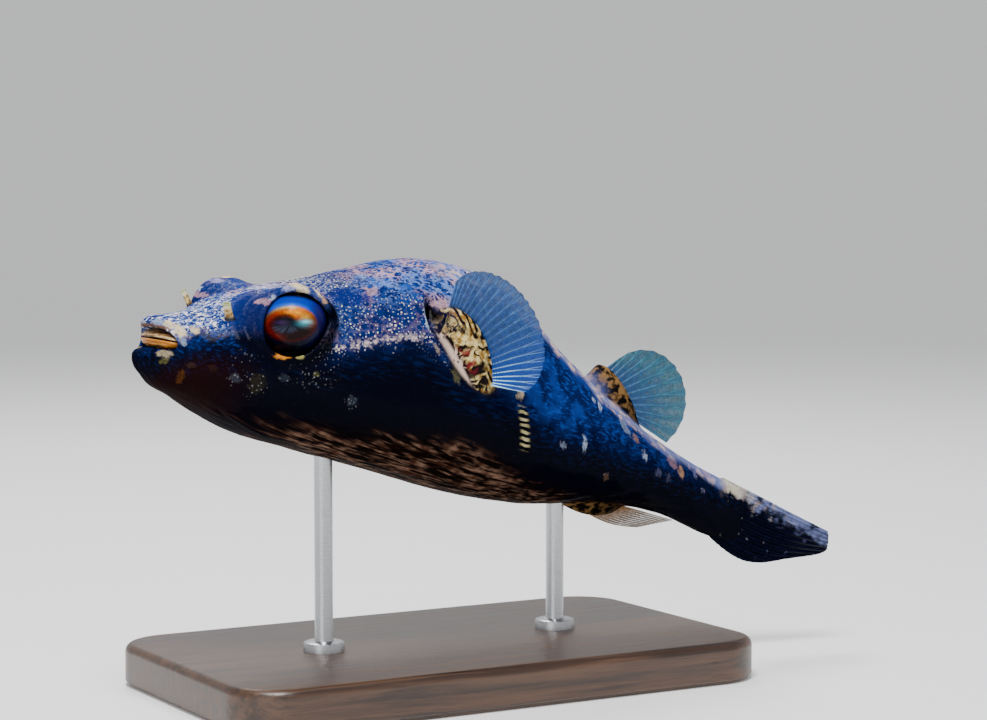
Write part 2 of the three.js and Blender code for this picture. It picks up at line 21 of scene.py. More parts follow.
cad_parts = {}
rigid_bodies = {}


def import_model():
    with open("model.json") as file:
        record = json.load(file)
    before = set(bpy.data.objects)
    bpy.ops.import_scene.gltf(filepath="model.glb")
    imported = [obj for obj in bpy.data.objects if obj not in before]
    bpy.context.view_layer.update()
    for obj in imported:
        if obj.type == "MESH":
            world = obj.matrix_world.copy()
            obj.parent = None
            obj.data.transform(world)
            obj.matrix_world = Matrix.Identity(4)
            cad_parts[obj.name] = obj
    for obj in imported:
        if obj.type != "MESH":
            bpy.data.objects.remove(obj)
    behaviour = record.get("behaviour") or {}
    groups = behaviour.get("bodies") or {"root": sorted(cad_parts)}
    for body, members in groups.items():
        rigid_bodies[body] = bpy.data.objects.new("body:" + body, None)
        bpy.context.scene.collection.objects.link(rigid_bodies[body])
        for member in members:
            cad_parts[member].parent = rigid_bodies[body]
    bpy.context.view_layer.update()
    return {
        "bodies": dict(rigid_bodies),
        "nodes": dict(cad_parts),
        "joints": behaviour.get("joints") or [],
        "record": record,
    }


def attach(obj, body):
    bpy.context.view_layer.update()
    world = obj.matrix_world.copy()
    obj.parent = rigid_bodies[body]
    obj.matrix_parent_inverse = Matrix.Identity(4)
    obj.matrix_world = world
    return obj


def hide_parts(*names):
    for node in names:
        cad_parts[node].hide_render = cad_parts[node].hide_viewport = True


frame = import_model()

LOG = logging.getLogger("pufferfish")
MM = 0.001
SHARP_ANGLE = 35  # creases of the stand that are steeper stay sharp, in degrees
ROOT = "root"
Array = np.ndarray
Colour = tuple[float, float, float]
Place = tuple[float, float, float]
Faces = list[tuple[int, ...]]
Piece = bpy.types.Object
Pin = bpy.types.NodeSocket
Material = bpy.types.Material


class Side(Enum):
    """The fish's own left and right; the left side has negative y."""

    LEFT = 1
    RIGHT = -1

    @property
    def word(self) -> str:
        """Name of the side in the names of pieces."""
        return self.name.lower()


# ---- Small helpers ----------------------------------------------------------------------------------


def lerp(start: Array | float, end: Array | float, share: Array | float) -> Array | float:
    """Value that lies at `share` of the way from start to end."""
    return start + (end - start) * share


def rise(value: Array | float, low: float, high: float) -> Array:
    """Soft step from 0 at low to 1 at high."""
    t = np.clip((np.asarray(value, float) - low) / (high - low), 0, 1)
    return t * t * (3 - 2 * t)


def fall(value: Array | float, low: float, high: float) -> Array:
    """Soft step from 1 at low to 0 at high."""
    return 1 - rise(value, low, high)


def bell(value: Array | float, middle: float, width: float) -> Array:
    """Bell curve of height 1 round the middle."""
    return np.exp(-(((np.asarray(value, float) - middle) / width) ** 2))


def cos_sin(degrees: float) -> tuple[float, float]:
    """Cosine and sine of an angle in degrees."""
    return math.cos(math.radians(degrees)), math.sin(math.radians(degrees))


def full_turn(count: int) -> Array:
    """Evenly spread angles of one whole turn, in radians."""
    return np.linspace(0, 2 * math.pi, count, endpoint=False)


def turn_from(angle: Array, middle: float) -> Array:
    """Size of the turn between an angle and a middle one, both in degrees, at most 180."""
    return np.abs((np.asarray(angle, float) - middle + 180) % 360 - 180)


def lobe(angle: Array, middle: float, width: float) -> Array:
    """Bell curve round a middle angle, all in degrees."""
    return bell(turn_from(angle, middle), 0, width)


def off_axis(off: Array, around: Array) -> Array:
    """Unit vectors, given by their angles off the first axis and round it, in radians."""
    return np.stack([np.cos(off), np.sin(off) * np.cos(around), np.sin(off) * np.sin(around)], -1)


def signed_power(value: Array, power: Array | float) -> Array:
    """Power of a number's size that keeps its sign."""
    return np.sign(value) * np.abs(value) ** power


def unit(vectors: Array) -> Array:
    """Vectors of length one."""
    return vectors / np.maximum(np.linalg.norm(vectors, axis=-1, keepdims=True), 1e-12)


def curve_through(places: list[float], values: list[float], at: Array) -> Array:
    """Smooth curve through values at uneven places.

    Args:
        places: Where the values stand, rising.
        values: One value for each place.
        at: Where the curve is wanted; beyond the ends it stays level.

    Returns:
        The curve's values.
    """
    known, value = np.asarray(places, float), np.asarray(values, float)
    at = np.clip(at, known[0], known[-1])
    spans = np.diff(known)
    slopes = np.diff(value) / spans
    inner = (slopes[:-1] * spans[1:] + slopes[1:] * spans[:-1]) / (spans[:-1] + spans[1:])
    tangents = np.concatenate([slopes[:1], inner, slopes[-1:]])
    i = np.clip(np.searchsorted(known, at, side="right") - 1, 0, len(spans) - 1)
    t = (at - known[i]) / spans[i]
    start = (1 + 2 * t) * (1 - t) ** 2 * value[i] + t * (1 - t) ** 2 * spans[i] * tangents[i]
    end = t * t * (3 - 2 * t) * value[i + 1] + t * t * (t - 1) * spans[i] * tangents[i + 1]
    return start + end


def rumple(points: Array, size: float, seed: float = 0.0) -> Array:
    """Smooth noise between about -1 and 1.

    Args:
        points: Places, one row each.
        size: Width of one swell, in the points' own unit.
        seed: Shift that picks another pattern.

    Returns:
        One number for each place.
    """
    rows = (points / size + seed).tolist()
    return np.array([noise.noise(row) for row in rows])


def show(name: str, data: bpy.types.ID) -> Piece:
    """Object in the scene with the mesh, light or camera given.

    Args:
        name: Name of the object.
        data: What it shows.

    Returns:
        The object.
    """
    piece = bpy.data.objects.new(name, data)
    bpy.context.scene.collection.objects.link(piece)
    return piece


def new_mesh(name: str, points: Array, faces: Faces, finish: Material | None = None) -> Piece:
    """Object in the scene with a smooth mesh.

    Args:
        name: Name of the piece.
        points: Its points, in metres.
        faces: Its faces.
        finish: Its material, if it gets it now.

    Returns:
        The piece.
    """
    mesh = bpy.data.meshes.new(name)
    mesh.from_pydata(np.asarray(points, float).tolist(), [], faces)
    mesh.validate()
    mesh.shade_smooth()
    if finish:
        mesh.materials.append(finish)
    return show(name, mesh)


def store(mesh: bpy.types.Mesh, name: str, values: Array) -> None:
    """Keeps a number, a vector or a colour on each point of a mesh.

    Args:
        mesh: The mesh that gets the attribute.
        name: Name of the attribute.
        values: One row for each point, with 1 or 3 numbers; names that start with "place" hold vectors.
    """
    values = np.asarray(values, np.float32)
    if values.ndim == 1:
        mesh.attributes.new(name, "FLOAT", "POINT").data.foreach_set("value", values)
    elif name.startswith("place"):
        mesh.attributes.new(name, "FLOAT_VECTOR", "POINT").data.foreach_set("vector", values.ravel())
    else:
        rows = np.hstack([values, np.ones((len(values), 1), np.float32)])
        mesh.attributes.new(name, "FLOAT_COLOR", "POINT").data.foreach_set("color", rows.ravel())


def whole_numbers(rows: bpy.types.bpy_prop_collection, name: str) -> Array:
    """Reads one whole number from every row of a mesh's data.

    Args:
        rows: The rows.
        name: Which of their values is read.

    Returns:
        The numbers.
    """
    found = np.zeros(len(rows), np.int32)
    rows.foreach_get(name, found)
    return found


def grid_faces(rows: int, columns: int, closed: bool, start: int = 0) -> Faces:
    """Quads of a grid of points.

    Args:
        rows: Rows of the grid.
        columns: Points in each row.
        closed: Whether the last column joins the first.
        start: Index of the first point.

    Returns:
        The quads.
    """
    faces = []
    for i in range(rows - 1):
        for j in range(columns if closed else columns - 1):
            a, b = start + i * columns + j, start + i * columns + (j + 1) % columns
            faces.append((a, b, b + columns, a + columns))
    return faces


def fanned_tube(rows: int, columns: int) -> Faces:
    """Faces of a closed grid whose ends are fanned to two hubs, the points that follow its own.

    Args:
        rows: Rings of the tube.
        columns: Points in each ring.

    Returns:
        The quads, then the triangles of both fans.
    """
    faces, count = grid_faces(rows, columns, closed=True), rows * columns
    last = count - columns
    for j in range(columns):
        k = (j + 1) % columns
        faces += [(k, j, count), (last + j, last + k, count + 1)]
    return faces


def as_quads(faces: Faces) -> Array:
    """Triangles and quads as rows of four, a triangle's last corner twice."""
    return np.array([f if len(f) == 4 else (*f, f[2]) for f in faces])


def outward(points: Array, faces: Faces) -> Faces:
    """Faces of a closed shell, turned round if they point inwards.

    Args:
        points: The shell's points.
        faces: Its triangles and quads, all turned the same way.

    Returns:
        The faces, pointing outwards.
    """
    corners = points[as_quads(faces)] - points.mean(axis=0)
    a, b, c, d = np.moveaxis(corners, 1, 0)
    volume = (a * (np.cross(b, c) + np.cross(c, d))).sum()
    return faces if volume > 0 else [f[::-1] for f in faces]


def ringed_solid(name: str, rings: list[Array], finish: Material) -> Piece:
    """Makes a solid through rings of points, with flat ends and its creases kept sharp.

    Args:
        name: Name of the piece.
        rings: Its rings from the bottom up, in millimetres, each with as many points.
        finish: Its material.

    Returns:
        The piece.
    """
    count, last = len(rings[0]), (len(rings) - 1) * len(rings[0])
    faces = grid_faces(len(rings), count, closed=True)
    faces += [tuple(range(count))[::-1], tuple(range(last, last + count))]
    solid = new_mesh(name, np.vstack(rings) * MM, faces, finish)
    solid.data.set_sharp_from_angle(angle=math.radians(SHARP_ANGLE))
    return solid


def point_normals(points: Array, faces: Faces) -> Array:
    """Unit normals of the points of a mesh, weighted by the faces' areas.

    Args:
        points: The mesh's points.
        faces: Its triangles and quads.

    Returns:
        One direction for each point.
    """
    quads = as_quads(faces)
    across = points[quads[:, 2]] - points[quads[:, 0]]
    other = points[quads[:, 3]] - points[quads[:, 1]]
    flat = np.cross(across, other)
    total = np.zeros_like(points)
    for corner in range(4):
        np.add.at(total, quads[:, corner], flat)
    return unit(total)


class Paint:
    """A colour for each point, built up in layers."""

    def __init__(self, ground: Colour, count: int) -> None:
        """Starts with one colour on a number of points."""
        self.rows = np.tile(np.array(ground), (count, 1))

    def lay(self, shade: Colour | Array, share: Array) -> None:
        """Lays a shade over the colour, wholly where the share is 1 or more."""
        self.rows = lerp(self.rows, np.array(shade), np.clip(share, 0, 1)[:, None])


# ---- The fish's form --------------------------------------------------------------------------------


@dataclass(frozen=True)
class Ring:
    """One ring of the skin.

    `at` counts along the skin, `x` gives the places of its top, sides and bottom, `half` is its half-width,
    `mid` the height of its widest points, and `power` its squareness, where 2 is an ellipse.
    """

    at: float
    x: Place
    top: float
    bottom: float
    half: float
    mid: float
    power: float


SNOUT_OFFSET = 5.0
MOUTH_RINGS = (
    Ring(0, (11, 11, 11), 1.9, 0.8, 0.6, 1.2, 2),  # throat
    Ring(2, (8.6, 9.8, 8.6), 2.5, -0.2, 3.7, 0.9, 2),
    Ring(5, (6, 8.3, 5.4), 2.5, -0.6, 5, 0.5, 2),  # inner edge of the lips
    Ring(7, (4.2, 7, 3.6), 3.2, -2, 5.6, 0.4, 2),  # crest of the lips
    Ring(9, (5.1, 7.3, 4.3), 4.3, -4, 6.1, 0.1, 2.1),
    Ring(10.5, (6.2, 8, 5.5), 4.7, -5.1, 6.3, -0.4, 2.1),  # groove behind the lips
    Ring(13, (8, 9.3, 7.3), 5.3, -6.4, 7.2, -0.9, 2.1),
)
BODY_SIZES = (  # x, top, bottom, half, mid, power
    (11, 6.4, -7.4, 8.9, -1.2, 2.15),  # chin
    (16, 9.2, -9.1, 11.6, -1.3, 2.25),
    (23, 12.2, -11, 14.2, -1.2, 2.3),  # eyes
    (35, 17.4, -12, 16, -1, 2.3),  # cheeks
    (50, 23, -13, 17.5, -0.6, 2.15),  # shoulders
    (64, 22, -14, 17, -1, 2.1),  # belly
    (78, 14, -13.5, 14.4, -2.4, 2.05),
    (92, 6.4, -11, 10.4, -3.6, 2),
    (105, 1, -10.6, 6.6, -4.8, 2),
    (117, -2.2, -12.8, 2.6, -7.4, 2),
    (120, -2.8, -13.2, 1.3, -8, 2),
    (122.5, -3.4, -13.3, 0.55, -8.4, 2),  # the flesh thins out over the tail fin
)
RINGS = (*MOUTH_RINGS, *(Ring(x + SNOUT_OFFSET, (x, x, x), *rest) for x, *rest in BODY_SIZES))


@dataclass(frozen=True)
class Pose:
    """How the straight fish is bent and held, in millimetres and degrees."""

    nose_up: float = 13
    pivot_x: float = 60
    pivot_height: float = 46
    head_sway: float = 4
    tail_sway: float = 3

    def _sway_amount(self, x: Array) -> Array:
        """Sideways swing of the end of the body that x belongs to."""
        return np.where(x < self.pivot_x, self.head_sway, self.tail_sway)

    def sway_angle(self, x: Array | float) -> Array:
        """Angle by which the bent body turns at x, in radians."""
        reach = (np.asarray(x, float) - self.pivot_x) / self.pivot_x
        return np.arctan(-2 * self._sway_amount(x) * reach / self.pivot_x)

    def sway(self, points: Array) -> Array:
        """Points of the straight fish moved with the bent body.

        Args:
            points: The points.

        Returns:
            The moved points.
        """
        x, y, z = np.moveaxis(np.asarray(points, float), -1, 0)
        reach = (x - self.pivot_x) / self.pivot_x
        angle = self.sway_angle(x)
        middle = -self._sway_amount(x) * reach * reach
        return np.stack([x - y * np.sin(angle), middle + y * np.cos(angle), z], axis=-1)

    def straighten(self, points: Array) -> Array:
        """Points of the bent fish moved back into the straight one.

        Args:
            points: The points.

        Returns:
            The moved points.
        """
        bent_x, bent_y, z = np.moveaxis(np.asarray(points, float), -1, 0)
        x, y = bent_x, bent_y
        for _ in range(4):
            reach = (x - self.pivot_x) / self.pivot_x
            angle = self.sway_angle(x)
            y = (bent_y + self._sway_amount(x) * reach * reach) / np.cos(angle)
            x = bent_x + y * np.sin(angle)
        return np.stack([x, y, z], axis=-1)

    def turned(self, direction: Array, x: float) -> Array:
        """Direction of the straight fish as it points in the bent one at x.

        Args:
            direction: The direction.
            x: Where it stands.

        Returns:
            The turned direction.
        """
        angle = float(self.sway_angle(x))
        dx, dy, dz = direction
        cos, sin = math.cos(angle), math.sin(angle)
        return np.array([dx * cos - dy * sin, dx * sin + dy * cos, dz])

    def to_world(self, points: Array) -> Array:
        """Points of the bent fish over the stand, in metres.

        Args:
            points: The points.

        Returns:
            The same points in the world.
        """
        x, y, z = np.moveaxis(np.asarray(points, float), -1, 0)
        tilt = math.radians(self.nose_up)
        along = (x - self.pivot_x) * math.cos(tilt) + z * math.sin(tilt)
        height = self.pivot_height - (x - self.pivot_x) * math.sin(tilt) + z * math.cos(tilt)
        return np.stack([along, y, height], axis=-1) * MM


@dataclass(frozen=True)
class BodyForm:
    """The bare form of the body: a loft through the rings, with a soft swelling round each eye."""

    pose: Pose = field(default_factory=Pose)
    eye: Place = (23.6, -11.0, 7.4)
    brow_height: float = 1.6
    brow_reach: tuple[float, float] = (6.0, 14.0)

    def ring_at(self, at: Array) -> dict[str, Array]:
        """Sizes of the ring at each place along the skin.

        Args:
            at: The places.

        Returns:
            One row of values for each size, by name.
        """
        places = [ring.at for ring in RINGS]
        sizes = ("top", "bottom", "half", "mid", "power")
        table = {name: [getattr(ring, name) for ring in RINGS] for name in sizes}
        for k, name in enumerate(("x_top", "x_side", "x_bottom")):
            table[name] = [ring.x[k] for ring in RINGS]
        return {name: curve_through(places, values, at) for name, values in table.items()}

    def skin_point(self, at: Array, turn: Array) -> Array:
        """Points of the straight skin.

        Args:
            at: Places along the skin.
            turn: Turns round the body in radians; 0 is the top, a quarter turn the left side.

        Returns:
            The points, before the swelling round the eyes.
        """
        ring = self.ring_at(at)
        up, side = np.cos(turn), np.sin(turn)
        tall = np.where(up >= 0, ring["top"] - ring["mid"], ring["mid"] - ring["bottom"])
        end = np.where(up >= 0, ring["x_top"], ring["x_bottom"])
        x = ring["x_side"] + (end - ring["x_side"]) * up * up
        y = -ring["half"] * signed_power(side, 2 / ring["power"])
        return np.stack([x, y, ring["mid"] + tall * signed_power(up, 2 / ring["power"])], axis=-1)

    def with_brows(self, points: Array) -> Array:
        """Points pushed out by the swelling round each eye.

        Args:
            points: Points of the straight skin.

        Returns:
            The moved points.
        """
        for side in Side:
            away = points - np.array(self.eye) * (1, side.value, 1)
            distance = np.linalg.norm(away, axis=-1, keepdims=True)
            fade = fall(distance, *self.brow_reach)
            points = points + away / distance * self.brow_height * fade
        return points

    def round_eye(self, points: Array) -> tuple[Array, Array]:
        """Where points of the straight fish lie, seen from the nearer eye.

        Args:
            points: The points.

        Returns:
            Their distances, and their angles from the rear upwards, in degrees.
        """
        away = np.stack([points[:, 0], np.abs(points[:, 1]), points[:, 2]], -1) - np.abs(self.eye)
        return np.linalg.norm(away, axis=1), np.degrees(np.arctan2(away[:, 2], away[:, 0]))

    def flank_at(self, x: Array, z: Array) -> Array:
        """Distance of the straight flank from the middle plane at x and z.

        Args:
            x: Places along the fish.
            z: Heights over the level of the mouth.

        Returns:
            The distances.
        """
        ring = self.ring_at(np.asarray(x, float) + SNOUT_OFFSET)
        tall = np.where(z >= ring["mid"], ring["top"] - ring["mid"], ring["mid"] - ring["bottom"])
        height = np.minimum(np.abs(z - ring["mid"]) / tall, 1)
        return ring["half"] * (1 - height ** ring["power"]) ** (1 / ring["power"])


@dataclass(frozen=True)
class Swelling:
    """A rounded form that the skin rises over, in the bent fish.

    `halves` are its half-sizes along X, Y and Z after its long axis is tipped by `lean` degrees from +X
    towards +Z. `blend` is how widely it melts into the skin round it, and `sway` how far the bent body
    turns there, in radians.
    """

    middle: Place
    halves: Place
    lean: float
    blend: float
    sway: float

    def local(self, points: Array) -> Array:
        """Points in the swelling's own axes.

        Args:
            points: Points of the bent fish.

        Returns:
            The points, with the swelling's long axis first.
        """
        away = points - np.array(self.middle)
        cos, sin = math.cos(self.sway), math.sin(self.sway)
        x = away[..., 0] * cos + away[..., 1] * sin
        y = -away[..., 0] * sin + away[..., 1] * cos
        cos, sin = cos_sin(self.lean)
        return np.stack([x * cos + away[..., 2] * sin, y, -x * sin + away[..., 2] * cos], axis=-1)

    def distance(self, points: Array) -> Array:
        """Rough distance of points from the swelling's surface, negative inside.

        Args:
            points: Points of the bent fish.

        Returns:
            The distances.
        """
        local = self.local(points)
        halves = np.array(self.halves)
        near = np.linalg.norm(local / halves, axis=-1)
        slope = np.linalg.norm(local / halves**2, axis=-1)
        return near * (near - 1) / np.maximum(slope, 1e-9)


def melted(first: Array, second: Array, blend: float) -> Array:
    """Distance from two forms melted into one another."""
    share = np.maximum(blend - np.abs(first - second), 0) / blend
    return np.minimum(first, second) - share * share * blend / 4


def outer_crossing(reach: Array, values: Array) -> Array:
    """Reach at which values, listed from the outside in, first go below zero.

    Args:
        reach: The reaches, falling.
        values: One row for each point, with a value for each reach.

    Returns:
        One reach for each point.
    """
    inside = values <= 0
    first = np.argmax(inside, axis=-1)
    rows = np.arange(len(values))
    before = np.maximum(first - 1, 0)
    high, low = values[rows, before], values[rows, first]
    share = np.where(high > low, high / np.maximum(high - low, 1e-9), 0)
    return reach[before] + (reach[first] - reach[before]) * np.clip(share, 0, 1)


# ---- Materials --------------------------------------------------------------------------------------


class Nodes:
    """Adds and links the nodes of one tree."""

    prefix = ""

    def __init__(self, tree: bpy.types.NodeTree) -> None:
        """Takes up a tree."""
        self.tree = tree

    def _put(self, socket: Pin, value: object) -> None:
        """Links a socket to another one, or sets its value.

        Args:
            socket: The socket that takes it.
            value: Another socket, a value, or None to leave it as it is.
        """
        if isinstance(value, Pin):
            self.tree.links.new(value, socket)
        elif value is not None:
            if isinstance(value, tuple) and len(value) == 3 and socket.type == "RGBA":
                value = (*value, 1.0)
            socket.default_value = value

    def add(self, kind: str, inputs: dict | None = None, **settings: object) -> bpy.types.Node:
        """Adds one node.

        Args:
            kind: The node's type, without the tree's own prefix.
            inputs: Values or sockets for its inputs, by name or number.
            **settings: The node's own properties.

        Returns:
            The node.
        """
        node = self.tree.nodes.new(self.prefix + kind)
        for key, value in settings.items():
            setattr(node, key, value)
        for key, value in (inputs or {}).items():
            self._put(node.inputs[key], value)
        return node


class Graph(Nodes):
    """Builds the nodes of one material."""

    prefix = "ShaderNode"

    def __init__(self, name: str) -> None:
        """Makes an empty material that ends in a Principled shader.

        Args:
            name: Name of the material.
        """
        self.material = bpy.data.materials.new(name)
        self.material.use_nodes = True
        super().__init__(self.material.node_tree)
        self.shader = self.tree.nodes["Principled BSDF"]

    def attribute(self, name: str, output: str = "Color") -> Pin:
        """One output of the node that reads an attribute of the mesh."""
        return self.add("Attribute", attribute_name=name).outputs[output]

    def place(self, name: str = "place") -> Pin:
        """Places that the mesh keeps in an attribute."""
        return self.attribute(name, "Vector")

    def own_place(self) -> Pin:
        """Places in the object's own coordinates."""
        return self.add("TexCoord").outputs["Object"]

    def parts(self, colour: Pin) -> list[Pin]:
        """The three parts of a colour."""
        return list(self.add("SeparateColor", {0: colour}).outputs)

    def channels(self, name: str) -> list[Pin]:
        """The three parts of a colour attribute."""
        return self.parts(self.attribute(name))

    def axes(self, vector: Pin) -> list[Pin]:
        """The three parts of a vector."""
        return list(self.add("SeparateXYZ", {0: vector}).outputs)

    def vector(self, operation: str, first: Pin, second: object = None) -> Pin:
        """Sum, difference or other operation of two vectors."""
        return self.add("VectorMath", {0: first, 1: second}, operation=operation).outputs[0]

    def mix(self, share: object, first: object, second: object, blend: str = "MIX") -> Pin:
        """Colour that goes from the first to the second as share goes from 0 to 1.

        Args:
            share: A socket or a number.
            first: Colour where the share is 0.
            second: Colour where it is 1.
            blend: How the two are mixed.

        Returns:
            The colour.
        """
        node = self.add("Mix", data_type="RGBA", blend_type=blend)
        for key, value in ((0, share), (6, first), (7, second)):
            self._put(node.inputs[key], value)
        return node.outputs[2]

    def math(self, operation: str, *values: object) -> Pin:
        """Result of a sum, product or other operation."""
        return self.add("Math", dict(enumerate(values)), operation=operation).outputs[0]

    def times(self, first: object, second: object) -> Pin:
        """Product of two numbers."""
        return self.math("MULTIPLY", first, second)

    def plus(self, first: object, second: object) -> Pin:
        """Sum of two numbers."""
        return self.math("ADD", first, second)

    def less(self, first: object, second: object) -> Pin:
        """What is left of the first number without the second."""
        return self.math("SUBTRACT", first, second)

    def step(self, value: object, low: float, high: float, to: tuple = (0, 1)) -> Pin:
        """Soft step of a value between low and high, onto the range given."""
        inputs = {"Value": value, 1: low, 2: high, 3: to[0], 4: to[1]}
        return self.add("MapRange", inputs, interpolation_type="SMOOTHSTEP").outputs[0]

    def stretched(self, vector: object, scale: tuple, move: tuple = (0, 0, 0)) -> Pin:
        """Coordinates scaled and moved."""
        return self.add("Mapping", {"Vector": vector, "Scale": scale, "Location": move}).outputs[0]

    def noise(self, vector: object, scale: float, detail: float = 2, roughness: float = 0.5,
              distortion: float = 0) -> Pin:
        """Cloudy pattern between 0 and 1.

        Args:
            vector: Coordinates.
            scale: Swells to one unit.
            detail: Finer layers on top.
            roughness: Strength of those layers.
            distortion: How much the pattern is curled.

        Returns:
            The pattern.
        """
        inputs = {"Vector": vector, "Scale": scale, "Detail": detail, "Roughness": roughness,
                  "Distortion": distortion}
        return self.add("TexNoise", inputs).outputs["Fac"]

    def clouds(self, vector: Pin, scale: float, detail: float, low: float, high: float,
               to: tuple = (0, 1)) -> Pin:
        """Cloudy pattern, put through a soft step."""
        return self.step(self.noise(vector, scale, detail), low, high, to)

    def drift(self, vector: Pin, scale: float) -> Pin:
        """Cloudy vector that bends a pattern."""
        return self.add("TexNoise", {"Vector": vector, "Scale": scale, "Detail": 1.0}).outputs["Color"]

    def cells(self, vector: Pin, scale: float, feature: str = "F1", randomness: float = 1) -> bpy.types.Node:
        """Pattern of cells."""
        inputs = {"Vector": vector, "Scale": scale, "Randomness": randomness}
        return self.add("TexVoronoi", inputs, feature=feature)

    def bump(self, height: object, distance: float, strength: float = 1,
             normal: object = None) -> Pin:
        """Normal that a height gives, with the distance in metres."""
        inputs = {"Height": height, "Distance": distance, "Strength": strength, "Normal": normal}
        return self.add("Bump", inputs).outputs[0]

    def finish(self, **inputs: object) -> Material:
        """Sets the shader's inputs and gives the material.

        Args:
            **inputs: Values or sockets by the name of the input, with underscores for its spaces.

        Returns:
            The material.
        """
        for key, value in inputs.items():
            self._put(self.shader.inputs[key.replace("_", " ")], value)
        return self.material


# ---- The skin's markings ----------------------------------------------------------------------------

NAVY: Colour = (0.0012, 0.0015, 0.0050)
FLANK_BLUE: Colour = (0.0020, 0.0070, 0.0600)
BACK_BLUE: Colour = (0.0040, 0.0200, 0.1500)
SKY: Colour = (0.0300, 0.0850, 0.2900)
LAVENDER: Colour = (0.2400, 0.2500, 0.4600)
PINK: Colour = (0.4200, 0.2500, 0.3000)
BELLY: Colour = (0.0035, 0.0018, 0.0016)
CHIN_RED: Colour = (0.0090, 0.0016, 0.0014)
CREAM: Colour = (0.62, 0.50, 0.30)
OLIVE: Colour = (0.26, 0.24, 0.07)
ORANGE: Colour = (0.64, 0.22, 0.02)
BROWN: Colour = (0.20, 0.10, 0.04)
SHADOW_BLUE: Colour = (0.0040, 0.0120, 0.1200)
EDGE_PINK: Colour = (0.56, 0.44, 0.42)
FROST: Colour = (0.34, 0.42, 0.58)
TAN: Colour = (0.46, 0.26, 0.15)
BLACK: Colour = (0.0005, 0.0005, 0.0008)


@dataclass(frozen=True)
class Spot:
    """One soft-edged mark on both flanks, in millimetres and degrees of the straight fish.

    `grains` says how thickly small pale granules stand on it and round it, or how bare it is where it is
    negative, and `aside` how far from the middle plane it starts.
    """

    x: float
    z: float
    half_length: float
    half_height: float
    colour: Colour
    lean: float = 0
    strength: float = 1
    grains: float = 0
    aside: float = 0

    def cover(self, points: Array, spread: float = 1) -> Array:
        """How much of the mark each point of the straight fish has, from 0 to 1.

        Args:
            points: Points of the straight fish.
            spread: How many times wider than the mark itself.

        Returns:
            One share for each point.
        """
        cos, sin = cos_sin(self.lean)
        along = (points[:, 0] - self.x) * cos + (points[:, 2] - self.z) * sin
        across = -(points[:, 0] - self.x) * sin + (points[:, 2] - self.z) * cos
        reach = np.hypot(along / self.half_length, across / self.half_height) / spread
        return np.clip(1.5 - reach, 0, 1) * rise(np.abs(points[:, 1]), self.aside - 0.9, self.aside)


